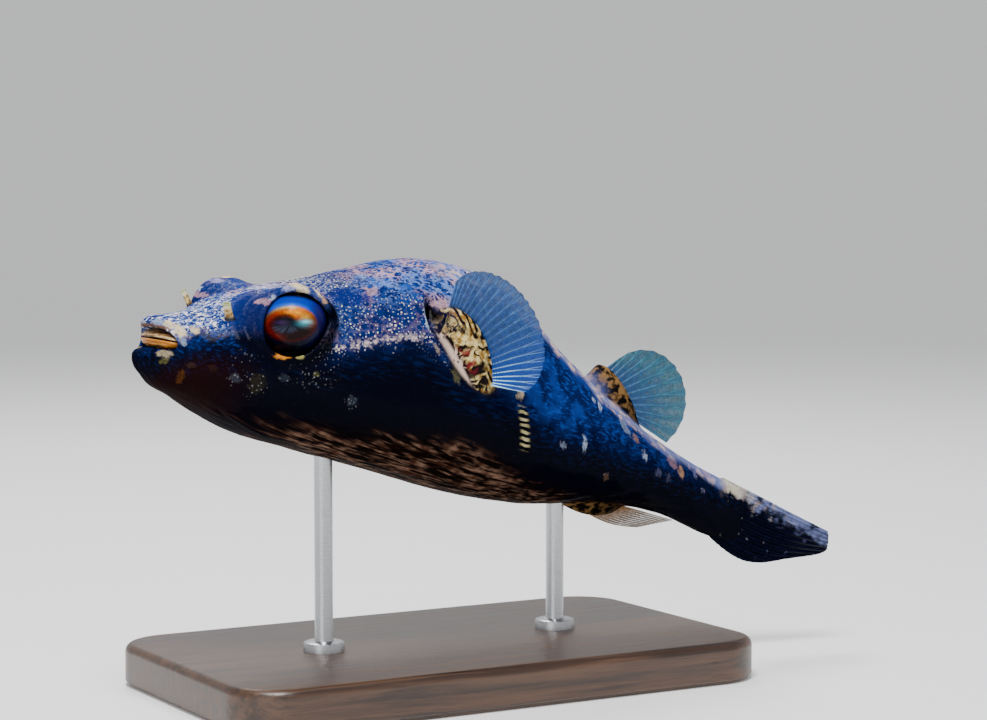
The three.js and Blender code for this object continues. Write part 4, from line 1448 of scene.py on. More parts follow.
def skin_finish() -> Material:
    """Satin, slightly wet skin, with a pale net, marbling, fine lines, belly patches and banded fin bases.

    Returns:
        The material.
    """
    g = Graph("fish_skin")
    place = g.place()
    net_share, marble_share, line_share = g.channels("masks")
    belly_share, rim_share, pale_share = g.channels("marks")
    ladder_share, pad_share, root_share = g.channels("extras")
    colour = g.attribute("tone")

    def lay(share: object, shade: object, *shares: object) -> None:
        """Lays a shade over the colour, by the product of all the shares.

        Args:
            share: How much of the shade shows.
            shade: The colour laid on.
            *shares: More shares, which the first is multiplied by.
        """
        nonlocal colour
        for other in shares:
            share = g.times(share, other)
        colour = g.mix(share, colour, shade)

    # the back: clouds of bright blue under a net of lavender and pink
    drift = g.drift(place, 0.8)
    bent = g.vector("ADD", place, drift)
    lay(g.clouds(place, 0.62, 2, 0.42, 0.64), (0.018, 0.085, 0.36), net_share, 0.85)
    lay(g.clouds(bent, 0.95, 1, 0.48, 0.38), (0.002, 0.006, 0.055), net_share, 0.95)
    edge = g.cells(bent, 0.75, "DISTANCE_TO_EDGE").outputs["Distance"]
    mesh = g.times(g.step(edge, 0.17, 0.05), g.clouds(place, 0.35, 2, 0.42, 0.58))
    worms = g.step(g.noise(g.stretched(place, (0.6, 1, 1)), 1.15, 1.5, distortion=1.3), 0.535, 0.60)
    net = g.times(g.math("MAXIMUM", mesh, worms), net_share)
    lay(net, g.mix(g.clouds(place, 0.17, 1, 0.42, 0.60), (0.15, 0.24, 0.56), (0.56, 0.33, 0.36)), 0.8)
    # the snout and the crown: lumpy white marbling on deep blue
    veins = g.noise(g.stretched(place, (0.5, 1, 1)), 1.55, 2, 0.6, 1.4)
    lay(g.step(veins, 0.47, 0.40), (0.003, 0.010, 0.085), marble_share)
    lay(g.step(veins, 0.53, 0.60), (0.34, 0.42, 0.68), marble_share, 0.95)
    lay(g.clouds(bent, 1.35, 1, 0.57, 0.63), (0.80, 0.74, 0.74), marble_share, 0.95)
    # the flanks: fine blue lines
    threads = g.step(g.noise(g.stretched(place, (0.17, 1, 1)), 2.2, 2, 0.55, 0.5), 0.49, 0.68)
    lay(threads, (0.007, 0.050, 0.31), line_share, 0.8)
    lay(g.clouds(place, 0.28, 2, 0.45, 0.62), (0.008, 0.045, 0.28), line_share, line_share, 0.5)
    # the ridge: warm and pale patches between blue ones
    lay(g.clouds(place, 0.45, 2, 0.50, 0.58), (0.56, 0.40, 0.36), rim_share, 0.85)
    lay(g.clouds(bent, 0.7, 1, 0.44, 0.35), (0.04, 0.09, 0.32), rim_share, 0.75)
    # the belly: long warm streaks that follow its outline, with dark creases between them
    tipped = g.add("Mapping", {"Vector": place, "Rotation": (0, -0.2, 0)}).outputs[0]
    slim = g.stretched(tipped, (0.13, 1, 1))
    patch = g.step(g.noise(slim, 1.35, 2, 0.55, 0.3), 0.42, 0.64)
    shown = g.step(g.plus(belly_share, g.clouds(slim, 0.7, 1, 0.3, 0.7, (0, 0.5))), 0.62, 1.25)
    warmth = g.times(g.clouds(tipped, 0.5, 1, 0.3, 0.7), g.step(belly_share, 0.5, 1.0, (0.3, 1)))
    lay(patch, g.mix(warmth, (0.040, 0.015, 0.009), (0.185, 0.105, 0.070)), shown)
    # the single marks, with broken edges
    ragged = g.plus(g.attribute("spotted", "Fac"), g.clouds(place, 1.5, 2, 0.25, 0.75, (-0.28, 0.28)))
    mottled = g.clouds(place, 2.4, 2, 0.34, 0.56, (0.5, 1))
    lay(g.step(ragged, 0.30, 0.85), g.attribute("spots"), mottled)
    # the ladder behind each pectoral fin
    level = g.axes(place)[2]
    wobble = g.clouds(place, 0.8, 1, 0.2, 0.8, (-0.8, 0.8))
    bars = g.step(g.math("SINE", g.plus(g.times(level, 6.1), wobble)), -0.25, 0.45)
    lay(0.8, BLACK, ladder_share)
    lay(bars, g.mix(g.noise(place, 0.8, 1), (0.26, 0.24, 0.07), (0.62, 0.52, 0.32)), ladder_share)
    colour = g.mix(pad_share, colour, pad_colour(g, place))
    blotch = g.clouds(place, 0.75, 2, 0.42, 0.58)
    lay(root_share, g.mix(blotch, (0.006, 0.004, 0.004), (0.24, 0.13, 0.045)), 0.9)
    colour = tail_patches(g, place, colour)
    # fine pale dots between the granules
    flecks = g.cells(place, 1.9)
    picked = g.step(g.parts(flecks.outputs["Color"])[0], 0.45, 0.6)
    dots = g.times(g.step(flecks.outputs["Distance"], 0.34, 0.2), picked)
    lay(dots, (0.56, 0.55, 0.58), pale_share, 0.75)
    wrinkles = g.noise(g.stretched(place, (0.3, 1, 1)), 3.0, 3, 0.6, 0.3)
    grain = g.cells(place, 2.6).outputs["Distance"]
    height = g.plus(g.times(wrinkles, 0.7), g.times(grain, -0.4))
    height = g.plus(height, g.times(g.times(patch, belly_share), 0.8))
    rough = g.clouds(place, 1.7, 2, 0.3, 0.7, (0.34, 0.52))
    return g.finish(Base_Color=colour, Roughness=rough, Coat_Weight=0.03, Coat_Roughness=0.14,
                    Specular_IOR_Level=0.0, Normal=g.bump(height, 0.00016, 0.8))


def tail_patches(g: Graph, place: Pin, under: object) -> Pin:
    """Lays the pale patches along the tail's upper edge over a colour, alike on the stem and on the fin.

    Args:
        g: The material.
        place: Places in the straight fish.
        under: The colour below the patches.

    Returns:
        The colour with the patches.
    """
    x, _, z = g.axes(place)
    below = g.less(TAIL_EDGE[1], g.plus(z, g.times(g.less(x, TAIL_EDGE[0]), TAIL_SLOPE)))
    rough_edge = g.plus(below, g.clouds(place, 0.55, 2, 0.25, 0.75, (-1.2, 1.2)))
    upper = g.times(g.step(rough_edge, 3.0, 1.0), g.step(x, 115.0, 118.5))
    broken = g.clouds(place, 0.50, 2, 0.36, 0.56, (0.1, 1))
    pale = g.times(upper, g.math("MAXIMUM", broken, g.step(x, 122.0, 119.5)))
    few = g.times(g.clouds(place, 0.85, 0, 0.72, 0.78), g.step(x, 117.0, 121.0))
    shade = g.mix(g.step(x, 119.0, 126.0), (0.56, 0.52, 0.38), (0.17, 0.20, 0.40))
    shade = g.mix(g.times(g.clouds(place, 0.8, 1, 0.5, 0.6), g.step(x, 136.0, 124.0)), shade,
                  (0.42, 0.34, 0.33))
    return g.mix(g.times(g.math("MAXIMUM", pale, g.times(few, 0.25)), 0.85), under, shade)


def pad_colour(g: Graph, place: Pin) -> Pin:
    """Colour of a pectoral base: cream bars on near black fan out to the rays, with one dark red patch.

    Args:
        g: The skin's material.
        place: Places in the straight fish.

    Returns:
        The colour.
    """
    along, _, across = g.axes(g.place("place_pad"))
    radius = g.math("SQRT", g.plus(g.math("POWER", along, 2.0), g.math("POWER", across, 2.0)))
    sweep = g.plus(g.times(g.math("ARCTAN2", across, along), 17.0),
                   g.clouds(place, 0.6, 1, 0.2, 0.8, (-1.3, 1.3)))
    fingers = g.step(g.math("SINE", sweep), -0.45, 0.35)
    drift = g.drift(place, 0.7)
    bent = g.vector("ADD", place, g.stretched(drift, (2.2, 2.2, 2.2)))
    tiger = g.step(g.noise(bent, 0.62, 2, 0.45, 0.8), 0.45, 0.59)
    fan = g.times(g.step(across, -0.15, 0.15), g.step(radius, 0.45, 0.62))
    shade = g.add("Mix", {0: fan, 2: tiger, 3: fingers}).outputs[0]
    gap = g.times(g.step(g.math("ABSOLUTE", g.less(along, 0.40)), 0.15, 0.05),
                 g.step(across, 0.35, -0.05))
    shade = g.times(shade, g.less(1.0, g.times(gap, 0.95)))
    band = g.times(g.step(across, -0.70, -0.82), g.clouds(place, 1.1, 1, 0.30, 0.42))
    shade = g.times(g.math("MAXIMUM", shade, band), g.step(radius, 1.06, 0.90))
    warm = g.mix(g.clouds(place, 1.1, 2, 0.35, 0.65), (0.24, 0.12, 0.020), (0.66, 0.52, 0.22))
    warm = g.mix(g.step(across, -0.55, -0.75), warm, (0.62, 0.46, 0.38))
    off = g.vector("SUBTRACT", g.place("place_pad"), (0.08, 0, -0.42))
    near = g.add("VectorMath", {0: g.stretched(off, (1, 0, 1.4))}, operation="LENGTH").outputs["Value"]
    red = g.times(g.step(near, 0.46, 0.2), g.clouds(place, 1.0, 1, 0.42, 0.56))
    return g.mix(g.times(red, 0.85), g.mix(shade, (0.008, 0.005, 0.005), warm), (0.17, 0.012, 0.02))


# ---- Eyes, beak and nostrils ------------------------------------------------------------------------


@dataclass(frozen=True)
class Eye:
    """One eyeball, painted as it is seen along its gaze, in millimetres, with a painted glint on it."""

    socket: Socket
    radius: float = 5.22
    cornea: float = 0.07  # how far the front bulges
    cornea_edge: tuple[float, float] = (20, 46)
    gaze: Place = (-0.50, -0.86, -0.01)
    roll: float = 12
    iris: tuple = ((-0.50, -0.20), (3.95, 2.62))  # middle, half-widths
    pupil: tuple = ((-1.15, -0.36), (2.15, 1.42))
    # the glint and its bright part are a painted highlight, fixed on the ball
    glint: tuple = ((1.62, -0.12), (1.10, 0.58))
    shine: tuple = ((1.95, 0.12), (0.72, 0.26))  # the bright part of the glint
    rows: int = 80
    columns: int = 160

    def _frame(self) -> Array:
        """The gaze, and the ways rearward and up across it, rolled with the nose-up fish.

        Returns:
            Three unit directions, one to a row.
        """
        pose, side = self.socket.form.pose, self.socket.side
        axis = unit(pose.turned(np.array(self.gaze) * (1, side.value, 1), self.socket.form.eye[0]))
        rear = unit(np.array([1.0, 0, 0]) - axis * axis[0])
        up = np.cross(rear, axis)
        up = up * np.sign(up[2])
        cos, sin = cos_sin(self.roll)
        return np.stack([axis, rear * cos + up * sin, up * cos - rear * sin])

    def _colours(self, points: Array) -> Array:
        """Colours of the ball: a dark pupil in a fiery iris, under a blue arch, with painted shade on the
        lower iris, a painted reflection low in the pupil and a painted glint.

        Args:
            points: Points of the ball, in the bent fish.

        Returns:
            One colour for each point.
        """
        ahead, right, height = ((points - self.socket.middle) @ self._frame().T).T
        front = rise(ahead, -0.5, 0.8)

        def reach(oval: tuple) -> Array:
            """Distance from the middle of an oval, 1 on its edge."""
            (x, z), (wide, tall) = oval
            return np.hypot((right - x) / wide, (height - z) / tall)

        iris, pupil = reach(self.iris), reach(self.pupil)
        angle = np.arctan2(height - self.iris[0][1], right - self.iris[0][0])
        turn = np.degrees(angle)
        spokes = np.stack([np.cos(angle) * 6, np.sin(angle) * 6, 0.3 * iris], -1)
        fibres, specks = rumple(spokes, 0.7, 5.5), rumple(points, 0.35, 8.8)
        top = lobe(turn, 62, 56)
        low = lobe(turn, 300, 74)
        share = np.clip((iris - 0.45) / 0.55, 0, 1)
        colour = Paint((0.26, 0.006, 0.001), len(points))
        colour.lay((0.80, 0.13, 0.002), 1.25 * top - 0.15 + 0.2 * fibres)
        colour.lay((0.92, 0.38, 0.010), bell(share, 0.42, 0.34) * top * (0.75 + 0.5 * specks))
        colour.lay((0.80, 0.50, 0.05), lobe(turn, 18, 18) * bell(share, 0.5, 0.4) * 0.7)
        # painted shade: the lower part of the iris is darkened
        colour.lay((0.010, 0.001, 0.001), 1.3 * low)
        colour.lay((0.012, 0.001, 0.001), 0.8 * bell(pupil, 1.0, 0.28) * (1 - 0.6 * rise(right, -0.6, 0.6)))
        colour.lay((0.05, 0.002, 0.001), 0.8 * rise(share, 0.72, 1) * (1 - top))
        colour.rows = colour.rows * (0.80 + 0.28 * fibres + 0.2 * specks)[:, None].clip(0.2, 1.4)
        arch = lobe(turn, 88, 72)
        colour.lay((0.46, 0.42, 0.13), 0.85 * bell(iris, 1.0, 0.09) * lobe(turn, 100, 40))
        blue = Paint((0.001, 0.028, 0.34), len(points))
        blue.lay((0.006, 0.095, 0.56), bell(iris, 1.14, 0.1) * arch)
        blue.lay((0.010, 0.004, 0.14), rise(right, 1.8, 4.2))
        blue.lay((0.001, 0.001, 0.003), np.maximum(1 - 1.5 * arch, rise(iris, 1.52, 1.70)))
        colour.lay(blue.rows, rise(iris, 1.0, 1.12))
        night = Paint((0.0012, 0.0010, 0.0030), len(points))
        # painted reflection: a soft bluish-grey sheen low in the pupil
        night.lay((0.045, 0.055, 0.095), bell(height, -1.15, 0.75) * (0.35 + 0.7 * fibres))
        night.lay((0.028, 0.012, 0.050), bell(height, 0.0, 0.35) * bell(right, -1.8, 1.0))
        night.lay(colour.rows, rise(pupil, 0.70, 1.22))
        # painted highlight: the cyan glint over the pupil and iris, brightest in its middle
        glow = np.exp(-reach(self.glint) ** 2 * 1.1) * (0.75 + 0.5 * fibres)
        night.lay((0.015, 0.20, 0.26), 1.1 * glow)
        night.lay((0.20, 0.62, 0.70), 0.9 * np.exp(-reach(self.shine) ** 2))
        night.lay((0.002, 0.002, 0.004), 1 - front)
        return np.clip(night.rows, 0, 1)

    def build(self) -> Piece:
        """Makes the ball, with its colours.

        Returns:
            The eyeball.
        """
        off = np.linspace(0, 180, self.rows + 1)[1:-1]
        off, around = (a.ravel() for a in np.meshgrid(off, full_turn(self.columns), indexing="ij"))
        off, around = np.append(off, [0, 180]), np.append(around, [0, 0])
        radius = self.radius + self.cornea * fall(off, *self.cornea_edge)
        points = self.socket.middle + (off_axis(np.radians(off), around) @ self._frame()) * radius[:, None]
        faces = outward(points, fanned_tube(self.rows - 1, self.columns))
        name = f"eyeball_{self.socket.side.word}"
        eye = new_mesh(name, self.socket.form.pose.to_world(points), faces, eye_finish())
        store(eye.data, "tone", self._colours(points))
        return eye


@cache
def eye_finish() -> Material:
    """Wet clear gloss over the painted iris.

    Returns:
        The material.
    """
    g = Graph("eye_gloss")
    tone = g.attribute("tone")
    place = g.own_place()
    mottle = g.noise(place, 2600, 3, 0.6)
    colour = g.mix(1.0, tone, g.mix(mottle, (0.72, 0.72, 0.72), (1, 1, 1)), "MULTIPLY")
    return g.finish(Base_Color=colour, Roughness=g.step(mottle, 0, 1, (0.20, 0.30)), Coat_Weight=0.06,
                    Coat_Roughness=0.03, Coat_IOR=1.4, Specular_IOR_Level=0.06)


@dataclass(frozen=True)
class BeakPlate:
    """One horny plate of the beak, seen between the lips, in the straight fish."""

    form: BodyForm
    upper: bool
    middle: Place = (7.7, 0, 0.95)
    halves: Place = (2.7, 5.3, 1.75)
    tilt: float = 2
    bite: float = 0.13
    thickness: tuple[float, float] = (0.45, 1.5)  # at the biting edge and behind the lips
    ridge: float = 0.09
    ridge_step: float = 0.62
    rows: int = 40
    columns: int = 56

    def build(self) -> Piece:
        """Makes the plate as a closed shell with ridged face and a thin biting edge.

        Returns:
            The plate.
        """
        sign = 1 if self.upper else -1
        levels = np.linspace(self.bite, self.halves[2] * 0.96, self.rows)
        across = np.linspace(-1, 1, self.columns)
        points = []
        for level in levels:
            wide = self.halves[1] * math.sqrt(1 - (level / self.halves[2]) ** 2)
            y = across * wide
            bulge = np.sqrt(np.clip(1 - (y / self.halves[1]) ** 2 - (level / self.halves[2]) ** 2, 0, 1))
            wave = self.ridge * math.cos(2 * math.pi * level / self.ridge_step)
            front = -self.halves[0] * bulge + wave * np.sqrt(1 - across**2)
            thick = lerp(*self.thickness, float(rise(level, self.bite, 1.1)))
            back = front + thick * np.sqrt(np.clip(1 - across**2, 0, 1)) + 0.02
            for depth, sideways in ((front, y), (back[::-1], y[::-1])):
                points.append(np.stack([depth, sideways, np.full_like(y, sign * level)], -1))
        local = np.vstack(points)
        cos, sin = cos_sin(self.tilt)
        straight = np.stack([local[:, 0] * cos - local[:, 2] * sin, local[:, 1],
                             local[:, 0] * sin + local[:, 2] * cos], -1) + np.array(self.middle)
        count = 2 * self.columns
        straight = np.vstack([straight, straight[:count].mean(0), straight[-count:].mean(0)])
        faces = outward(straight, fanned_tube(self.rows, count))
        name = f"beak_plate_{'upper' if self.upper else 'lower'}"
        plate = new_mesh(name, self.form.pose.to_world(self.form.pose.sway(straight)), faces, beak_finish())
        store(plate.data, "place", straight)
        return plate


BITE_LEVEL = 0.95  # height of the line between the two plates


@cache
def beak_finish() -> Material:
    """Horn in flat bands: brown above, a pale line that is a painted highlight, a dark band of painted shade
    at the bite, and orange below.

    Returns:
        The material.
    """
    g = Graph("beak_horn")
    place = g.place()
    wander = g.step(g.noise(g.stretched(place, (0.5, 0.5, 1.6)), 1.1, 2, 0.6), 0.2, 0.8, (-0.32, 0.32))
    height = g.plus(g.less(g.axes(place)[2], BITE_LEVEL), wander)
    streaks = g.noise(g.stretched(place, (0.3, 0.3, 3.0)), 1.6, 2, 0.6, 0.2)
    colour = g.mix(g.step(height, -1.25, -0.85), (0.05, 0.02, 0.006), (0.50, 0.17, 0.014))
    colour = g.mix(g.step(streaks, 0.52, 0.66), colour, (0.66, 0.34, 0.07))
    # painted shade: the dark band where the two plates meet
    colour = g.mix(g.step(height, -0.26, -0.06), colour, (0.016, 0.008, 0.003))
    # painted highlight: the pale line along the upper plate's biting edge
    colour = g.mix(g.step(height, 0.10, 0.24), colour, (0.52, 0.33, 0.15))
    brown = g.mix(g.step(streaks, 0.42, 0.62), (0.030, 0.014, 0.005), (0.20, 0.095, 0.025))
    colour = g.mix(g.step(height, 0.48, 0.66), colour, brown)
    return g.finish(Base_Color=colour, Roughness=g.step(streaks, 0.2, 0.8, (0.30, 0.45)), Coat_Weight=0.12,
                    Coat_Roughness=0.12, Specular_IOR_Level=0.25, Normal=g.bump(streaks, 0.0002, 0.7))


# How far back each nostril stands and its angle round the body: the pair is not quite even.
NOSTRIL_PLACES = {Side.LEFT: (20.2, 43.5), Side.RIGHT: (21.4, 38.0)}


@dataclass(frozen=True)
class Nostril:
    """One soft nasal tube with a flared, cupped end, in millimetres."""

    form: BodyForm
    side: Side
    at: float
    turn: float
    lean: Place = (-0.35, 0, 0.6)
    broad: Place = (0.866, -0.5, 0)  # the way it is broadest, on the left side
    flat: tuple[float, float] = (1.25, 0.72)
    # height and radius, from the foot over the rim and down into the cup
    profile: tuple = ((-0.9, 0.95), (-0.25, 0.8), (0.2, 0.62), (0.7, 0.54), (1.6, 0.50), (2.3, 0.50),
                      (2.7, 0.56), (2.85, 0.52), (2.8, 0.40), (2.4, 0.28), (2.0, 0.22), (1.8, 0.12))
    columns: int = 28
    steps: int = 4

    def build(self) -> Piece:
        """Makes the tube by turning its profile about a way that leans forwards and up.

        Returns:
            The tube.
        """
        pose, turn = self.form.pose, math.radians(self.turn) * self.side.value

        def skin(at: float, angle: float) -> Array:
            """Point of the bent skin."""
            return pose.sway(self.form.with_brows(self.form.skin_point(np.array([at]), np.array([angle]))))[0]

        foot = skin(self.at, turn)
        out = np.cross(skin(self.at, turn + 0.05) - foot, skin(self.at + 0.3, turn) - foot)
        way = unit(unit(out) + np.array(self.lean))
        broad = np.array(self.broad) * (1, self.side.value, 1)
        across = unit(broad - way * (broad @ way))
        frame = np.stack([across, np.cross(way, across), way])
        known = np.arange(len(self.profile), dtype=float)
        fine = np.linspace(0, len(self.profile) - 1, (len(self.profile) - 1) * self.steps + 1)
        height = curve_through(known, [p[0] for p in self.profile], fine)
        radius = curve_through(known, [p[1] for p in self.profile], fine)
        around = full_turn(self.columns)
        local = np.stack([
            radius[:, None] * self.flat[0] * np.cos(around),
            radius[:, None] * self.flat[1] * np.sin(around),
            np.broadcast_to(height[:, None], (len(fine), self.columns)),
        ], -1).reshape(-1, 3)
        local = np.vstack([local, (0, 0, height[0]), (0, 0, height[-1])])
        points = foot + local @ frame
        faces = outward(points, fanned_tube(len(fine), self.columns))
        nostril = new_mesh(f"nasal_tube_{self.side.word}", pose.to_world(points), faces, nostril_finish())
        store(nostril.data, "place", local)
        return nostril


@cache
def nostril_finish() -> Material:
    """Pale brown flesh, dark at the foot as painted shade, and olive at the rim.

    Returns:
        The material.
    """
    g = Graph("nostril_flesh")
    place = g.place()
    height = g.axes(place)[2]
    cloud = g.noise(place, 1.6, 2)
    body = g.mix(g.step(cloud, 0.40, 0.60), (0.26, 0.13, 0.03), (0.66, 0.50, 0.20))
    # painted shade: the tube darkens towards its foot
    foot = g.mix(g.step(height, 0.15, 0.85), (0.008, 0.009, 0.020), body)
    colour = g.mix(g.step(height, 1.75, 2.1), foot, (0.70, 0.66, 0.40))
    colour = g.mix(g.step(height, 2.45, 2.65), colour, (0.36, 0.42, 0.20))
    return g.finish(Base_Color=colour, Roughness=0.4, Coat_Weight=0.1, Coat_Roughness=0.15,
                    Specular_IOR_Level=0.25, Normal=g.bump(cloud, 0.0001, 0.6))


# ---- Fins -------------------------------------------------------------------------------------------


@dataclass(frozen=True)
class Fin:
    """A fin of soft rays with thin web between them.

    `node` is the CAD node that the fin stands for. Sizes are in millimetres.
    """

    form: BodyForm
    node: str = ""
    rays: int = 12
    notch: float = 0.02
    buried: float = -0.06
    ray_radius: tuple[float, float] = (0.20, 0.07)
    web: tuple[float, float] = (0.26, 0.11)
    split: float = 0.58
    short: float = 0.012  # how far the rays end before the margin
    overlap: float = 0.03  # how far the halves of a split ray reach back into it
    fork: float = 0.2  # how far the halves of a split ray part, in gaps between rays
    slack: float = 0.10

    def point(self, across: Array, out: Array) -> Array:
        """Points of the fin's middle sheet in the bent fish.

        Args:
            across: Places from the first ray, at 0, to the last, at 1.
            out: Places from the root, at 0, to the margin, at 1.

        Returns:
            The points.
        """
        raise NotImplementedError

    def _reach(self, across: Array) -> Array:
        """How far out the margin lies, dipping a little between the rays.

        Args:
            across: Places from the first ray to the last.

        Returns:
            The margin's place on each, a little under 1.
        """
        between = np.sin(math.pi * across * (self.rays - 1)) ** 2
        ragged = rumple(np.stack([across * 40, 0 * across, 0 * across], -1), 1.0, self.rays)
        return 1 - self.notch * (between + 0.7 * ragged)

    def web_mesh(self, per_ray: int = 6, rows: int = 30) -> Piece:
        """Makes the web as a closed thin sheet that sags a little between the rays.

        Args:
            per_ray: Columns of the grid to one ray.
            rows: Rows of the grid.

        Returns:
            The web.
        """
        columns = (self.rays - 1) * per_ray + 1
        across, out = np.meshgrid(np.linspace(0, 1, columns), np.linspace(0, 1, rows), indexing="ij")
        flat_across = across.ravel()
        reach = self._reach(flat_across)
        middle = self.point(flat_across, lerp(self.buried, reach, out.ravel())).reshape(columns, rows, 3)
        normal = unit(np.cross(np.gradient(middle, axis=0), np.gradient(middle, axis=1)))
        between = np.sin(math.pi * across * (self.rays - 1)) ** 2
        middle = middle + normal * (self.slack * (between - 0.5) * rise(out, 0.1, 0.5))[..., None]
        half = lerp(self.web[0], self.web[1], out) * (1 - 0.35 * between) / 2
        top, under = (middle + normal * half[..., None] * s for s in (1, -1))
        count = columns * rows
        faces = [f[::-1] for f in grid_faces(columns, rows, closed=False)]
        faces += grid_faces(columns, rows, closed=False, start=count)
        rim = [(i, 0) for i in range(columns)] + [(columns - 1, j) for j in range(1, rows)]
        rim += [(i, rows - 1) for i in range(columns - 2, -1, -1)] + [(0, j) for j in range(rows - 2, 0, -1)]
        loop = [i * rows + j for i, j in rim]
        faces += [(b + count, a + count, a, b) for a, b in zip(loop, loop[1:] + loop[:1])]
        points = np.vstack([top.reshape(-1, 3), under.reshape(-1, 3)])
        web = new_mesh(self.node + "_web", self.form.pose.to_world(points), faces)
        guide = np.stack([out.ravel(), flat_across, 1 - between.ravel()], -1)
        store(web.data, "guide", np.vstack([guide, guide]))
        store(web.data, "place", np.tile(self.form.pose.straighten(middle.reshape(-1, 3)), (2, 1)))
        return web

    def ray_lines(self) -> Piece:
        """Makes the middle lines of the rays, each split in two towards the margin.

        Returns:
            The lines, with the thickness of the rays on them.
        """
        points, edges, radii, guide = [], [], [], []
        spread = self.fork / (self.rays - 1)
        for ray in range(self.rays):
            home = ray / (self.rays - 1)
            limit = float(self._reach(np.array([home]))[0]) - self.short
            half = np.linspace(self.split - self.overlap, limit, 12)
            stem = np.linspace(self.buried * 0.8, self.split, 20)
            stretches = [(stem, 0.0), (half, spread), (half, -spread)]
            for out, away in stretches:
                drift = away * rise(out, self.split - 0.05, 1.0)
                across = np.clip(home + drift, 0.0, 1.0)
                first = len(points)
                points.extend(self.point(across, out))
                edges.extend((first + k, first + k + 1) for k in range(len(out) - 1))
                thin = 0.78 if away else 1.0
                joints = 1 + 0.10 * np.sin(out * 90)
                radii.extend(lerp(self.ray_radius[0], self.ray_radius[1], np.clip(out, 0, 1)) * thin * joints)
                guide.extend(np.stack([np.clip(out, 0, 1), across, np.ones_like(out)], -1))
        mesh = bpy.data.meshes.new(self.node + "_lines")
        mesh.from_pydata((self.form.pose.to_world(np.array(points))).tolist(), edges, [])
        store(mesh, "radius", np.array(radii) * MM)
        store(mesh, "guide", np.array(guide))
        store(mesh, "place", self.form.pose.straighten(np.array(points)))
        return show(mesh.name, mesh)


@dataclass(frozen=True)
class PectoralFin(Fin):
    """The fan behind one gill opening, held up and out from its fleshy base."""

    side: Side = Side.LEFT
    rays: int = 22
    ray_radius: tuple[float, float] = (0.15, 0.05)
    notch: float = 0.018
    base: tuple[float, float] = (53.6, 9.2)
    lean: float = -47
    root_length: float = 6.9
    root_width: float = 2.7
    root_lift: float = 1.2
    root_ends: tuple[float, float] = (0.04, 0.96)
    ray: float = 10
    outline: Place = (0.1, 0.88, 0.6)
    spread: tuple[float, float] = (88, -2)
    heading: tuple[float, float] = (66, 52)

    def point(self, across: Array, out: Array) -> Array:
        """Points of the fin's middle sheet in the bent fish.

        Args:
            across: Places from the first ray, at 0, to the last, at 1.
            out: Places from the root, at 0, to the margin, at 1.

        Returns:
            The points.
        """
        angle = math.pi * lerp(*self.root_ends, across)
        along, behind = -self.root_length * np.cos(angle), self.root_width * np.sin(angle)
        cos, sin = cos_sin(self.lean)
        x = self.base[0] + along * cos - behind * sin
        z = self.base[1] + along * sin + behind * cos
        arch = np.sin(math.pi * lerp(self.outline[0], self.outline[1], across)) ** self.outline[2]
        length = self.ray * arch * out
        climb, turn = np.radians(lerp(*self.spread, across)), np.radians(lerp(*self.heading, out))
        y = self.form.flank_at(x, z) + self.root_lift + length * np.cos(climb) * np.sin(turn)
        swept = x + length * np.cos(climb) * np.cos(turn)
        return self.form.pose.sway(np.stack([swept, -self.side.value * y, z + length * np.sin(climb)], -1))


@dataclass(frozen=True)
class DorsalFin(Fin):
    """The rounded fin far back on the ridge."""

    node: str = "dorsal_fin"
    rays: int = 12
    roots: tuple = ((90, 12), (97, 4.8))
    margin: Place = (98.6, 8.2, 8.8)
    arc: tuple[float, float] = (138, -46)

    def point(self, across: Array, out: Array) -> Array:
        """Points of the fin's middle sheet in the bent fish.

        Args:
            across: Places from the first ray, at 0, to the last, at 1.
            out: Places from the root, at 0, to the margin, at 1.

        Returns:
            The points.
        """
        angle = np.radians(lerp(*self.arc, across))
        tip_x = self.margin[0] + self.margin[2] * np.cos(angle)
        tip_z = self.margin[1] + self.margin[2] * np.sin(angle)
        x = lerp(lerp(self.roots[0][0], self.roots[1][0], across), tip_x, out)
        z = lerp(lerp(self.roots[0][1], self.roots[1][1], across), tip_z, out)
        curl = 0.5 * out * out * np.sin(math.pi * across)
        return self.form.pose.sway(np.stack([x, curl, z], -1))


@dataclass(frozen=True)
class AnalFin(Fin):
    """The small fin folded back under the stem."""

    node: str = "anal_fin"
    rays: int = 10
    roots: tuple = ((91, -12.4), (96.5, -10.4))
    tips: tuple = ((102.5, -13.5), (109, -11.2))
    bow: float = 0.8

    def point(self, across: Array, out: Array) -> Array:
        """Points of the fin's middle sheet in the bent fish.

        Args:
            across: Places from the first ray, at 0, to the last, at 1.
            out: Places from the root, at 0, to the margin, at 1.

        Returns:
            The points.
        """
        root = [lerp(self.roots[0][k], self.roots[1][k], across) for k in (0, 1)]
        tip = [lerp(self.tips[0][k], self.tips[1][k], across) for k in (0, 1)]
        drop = self.bow * np.sin(math.pi * out) * (1 - across)
        x, z = lerp(root[0], tip[0], out), lerp(root[1], tip[1], out) - drop
        return self.form.pose.sway(np.stack([x, 0 * x, z], -1))


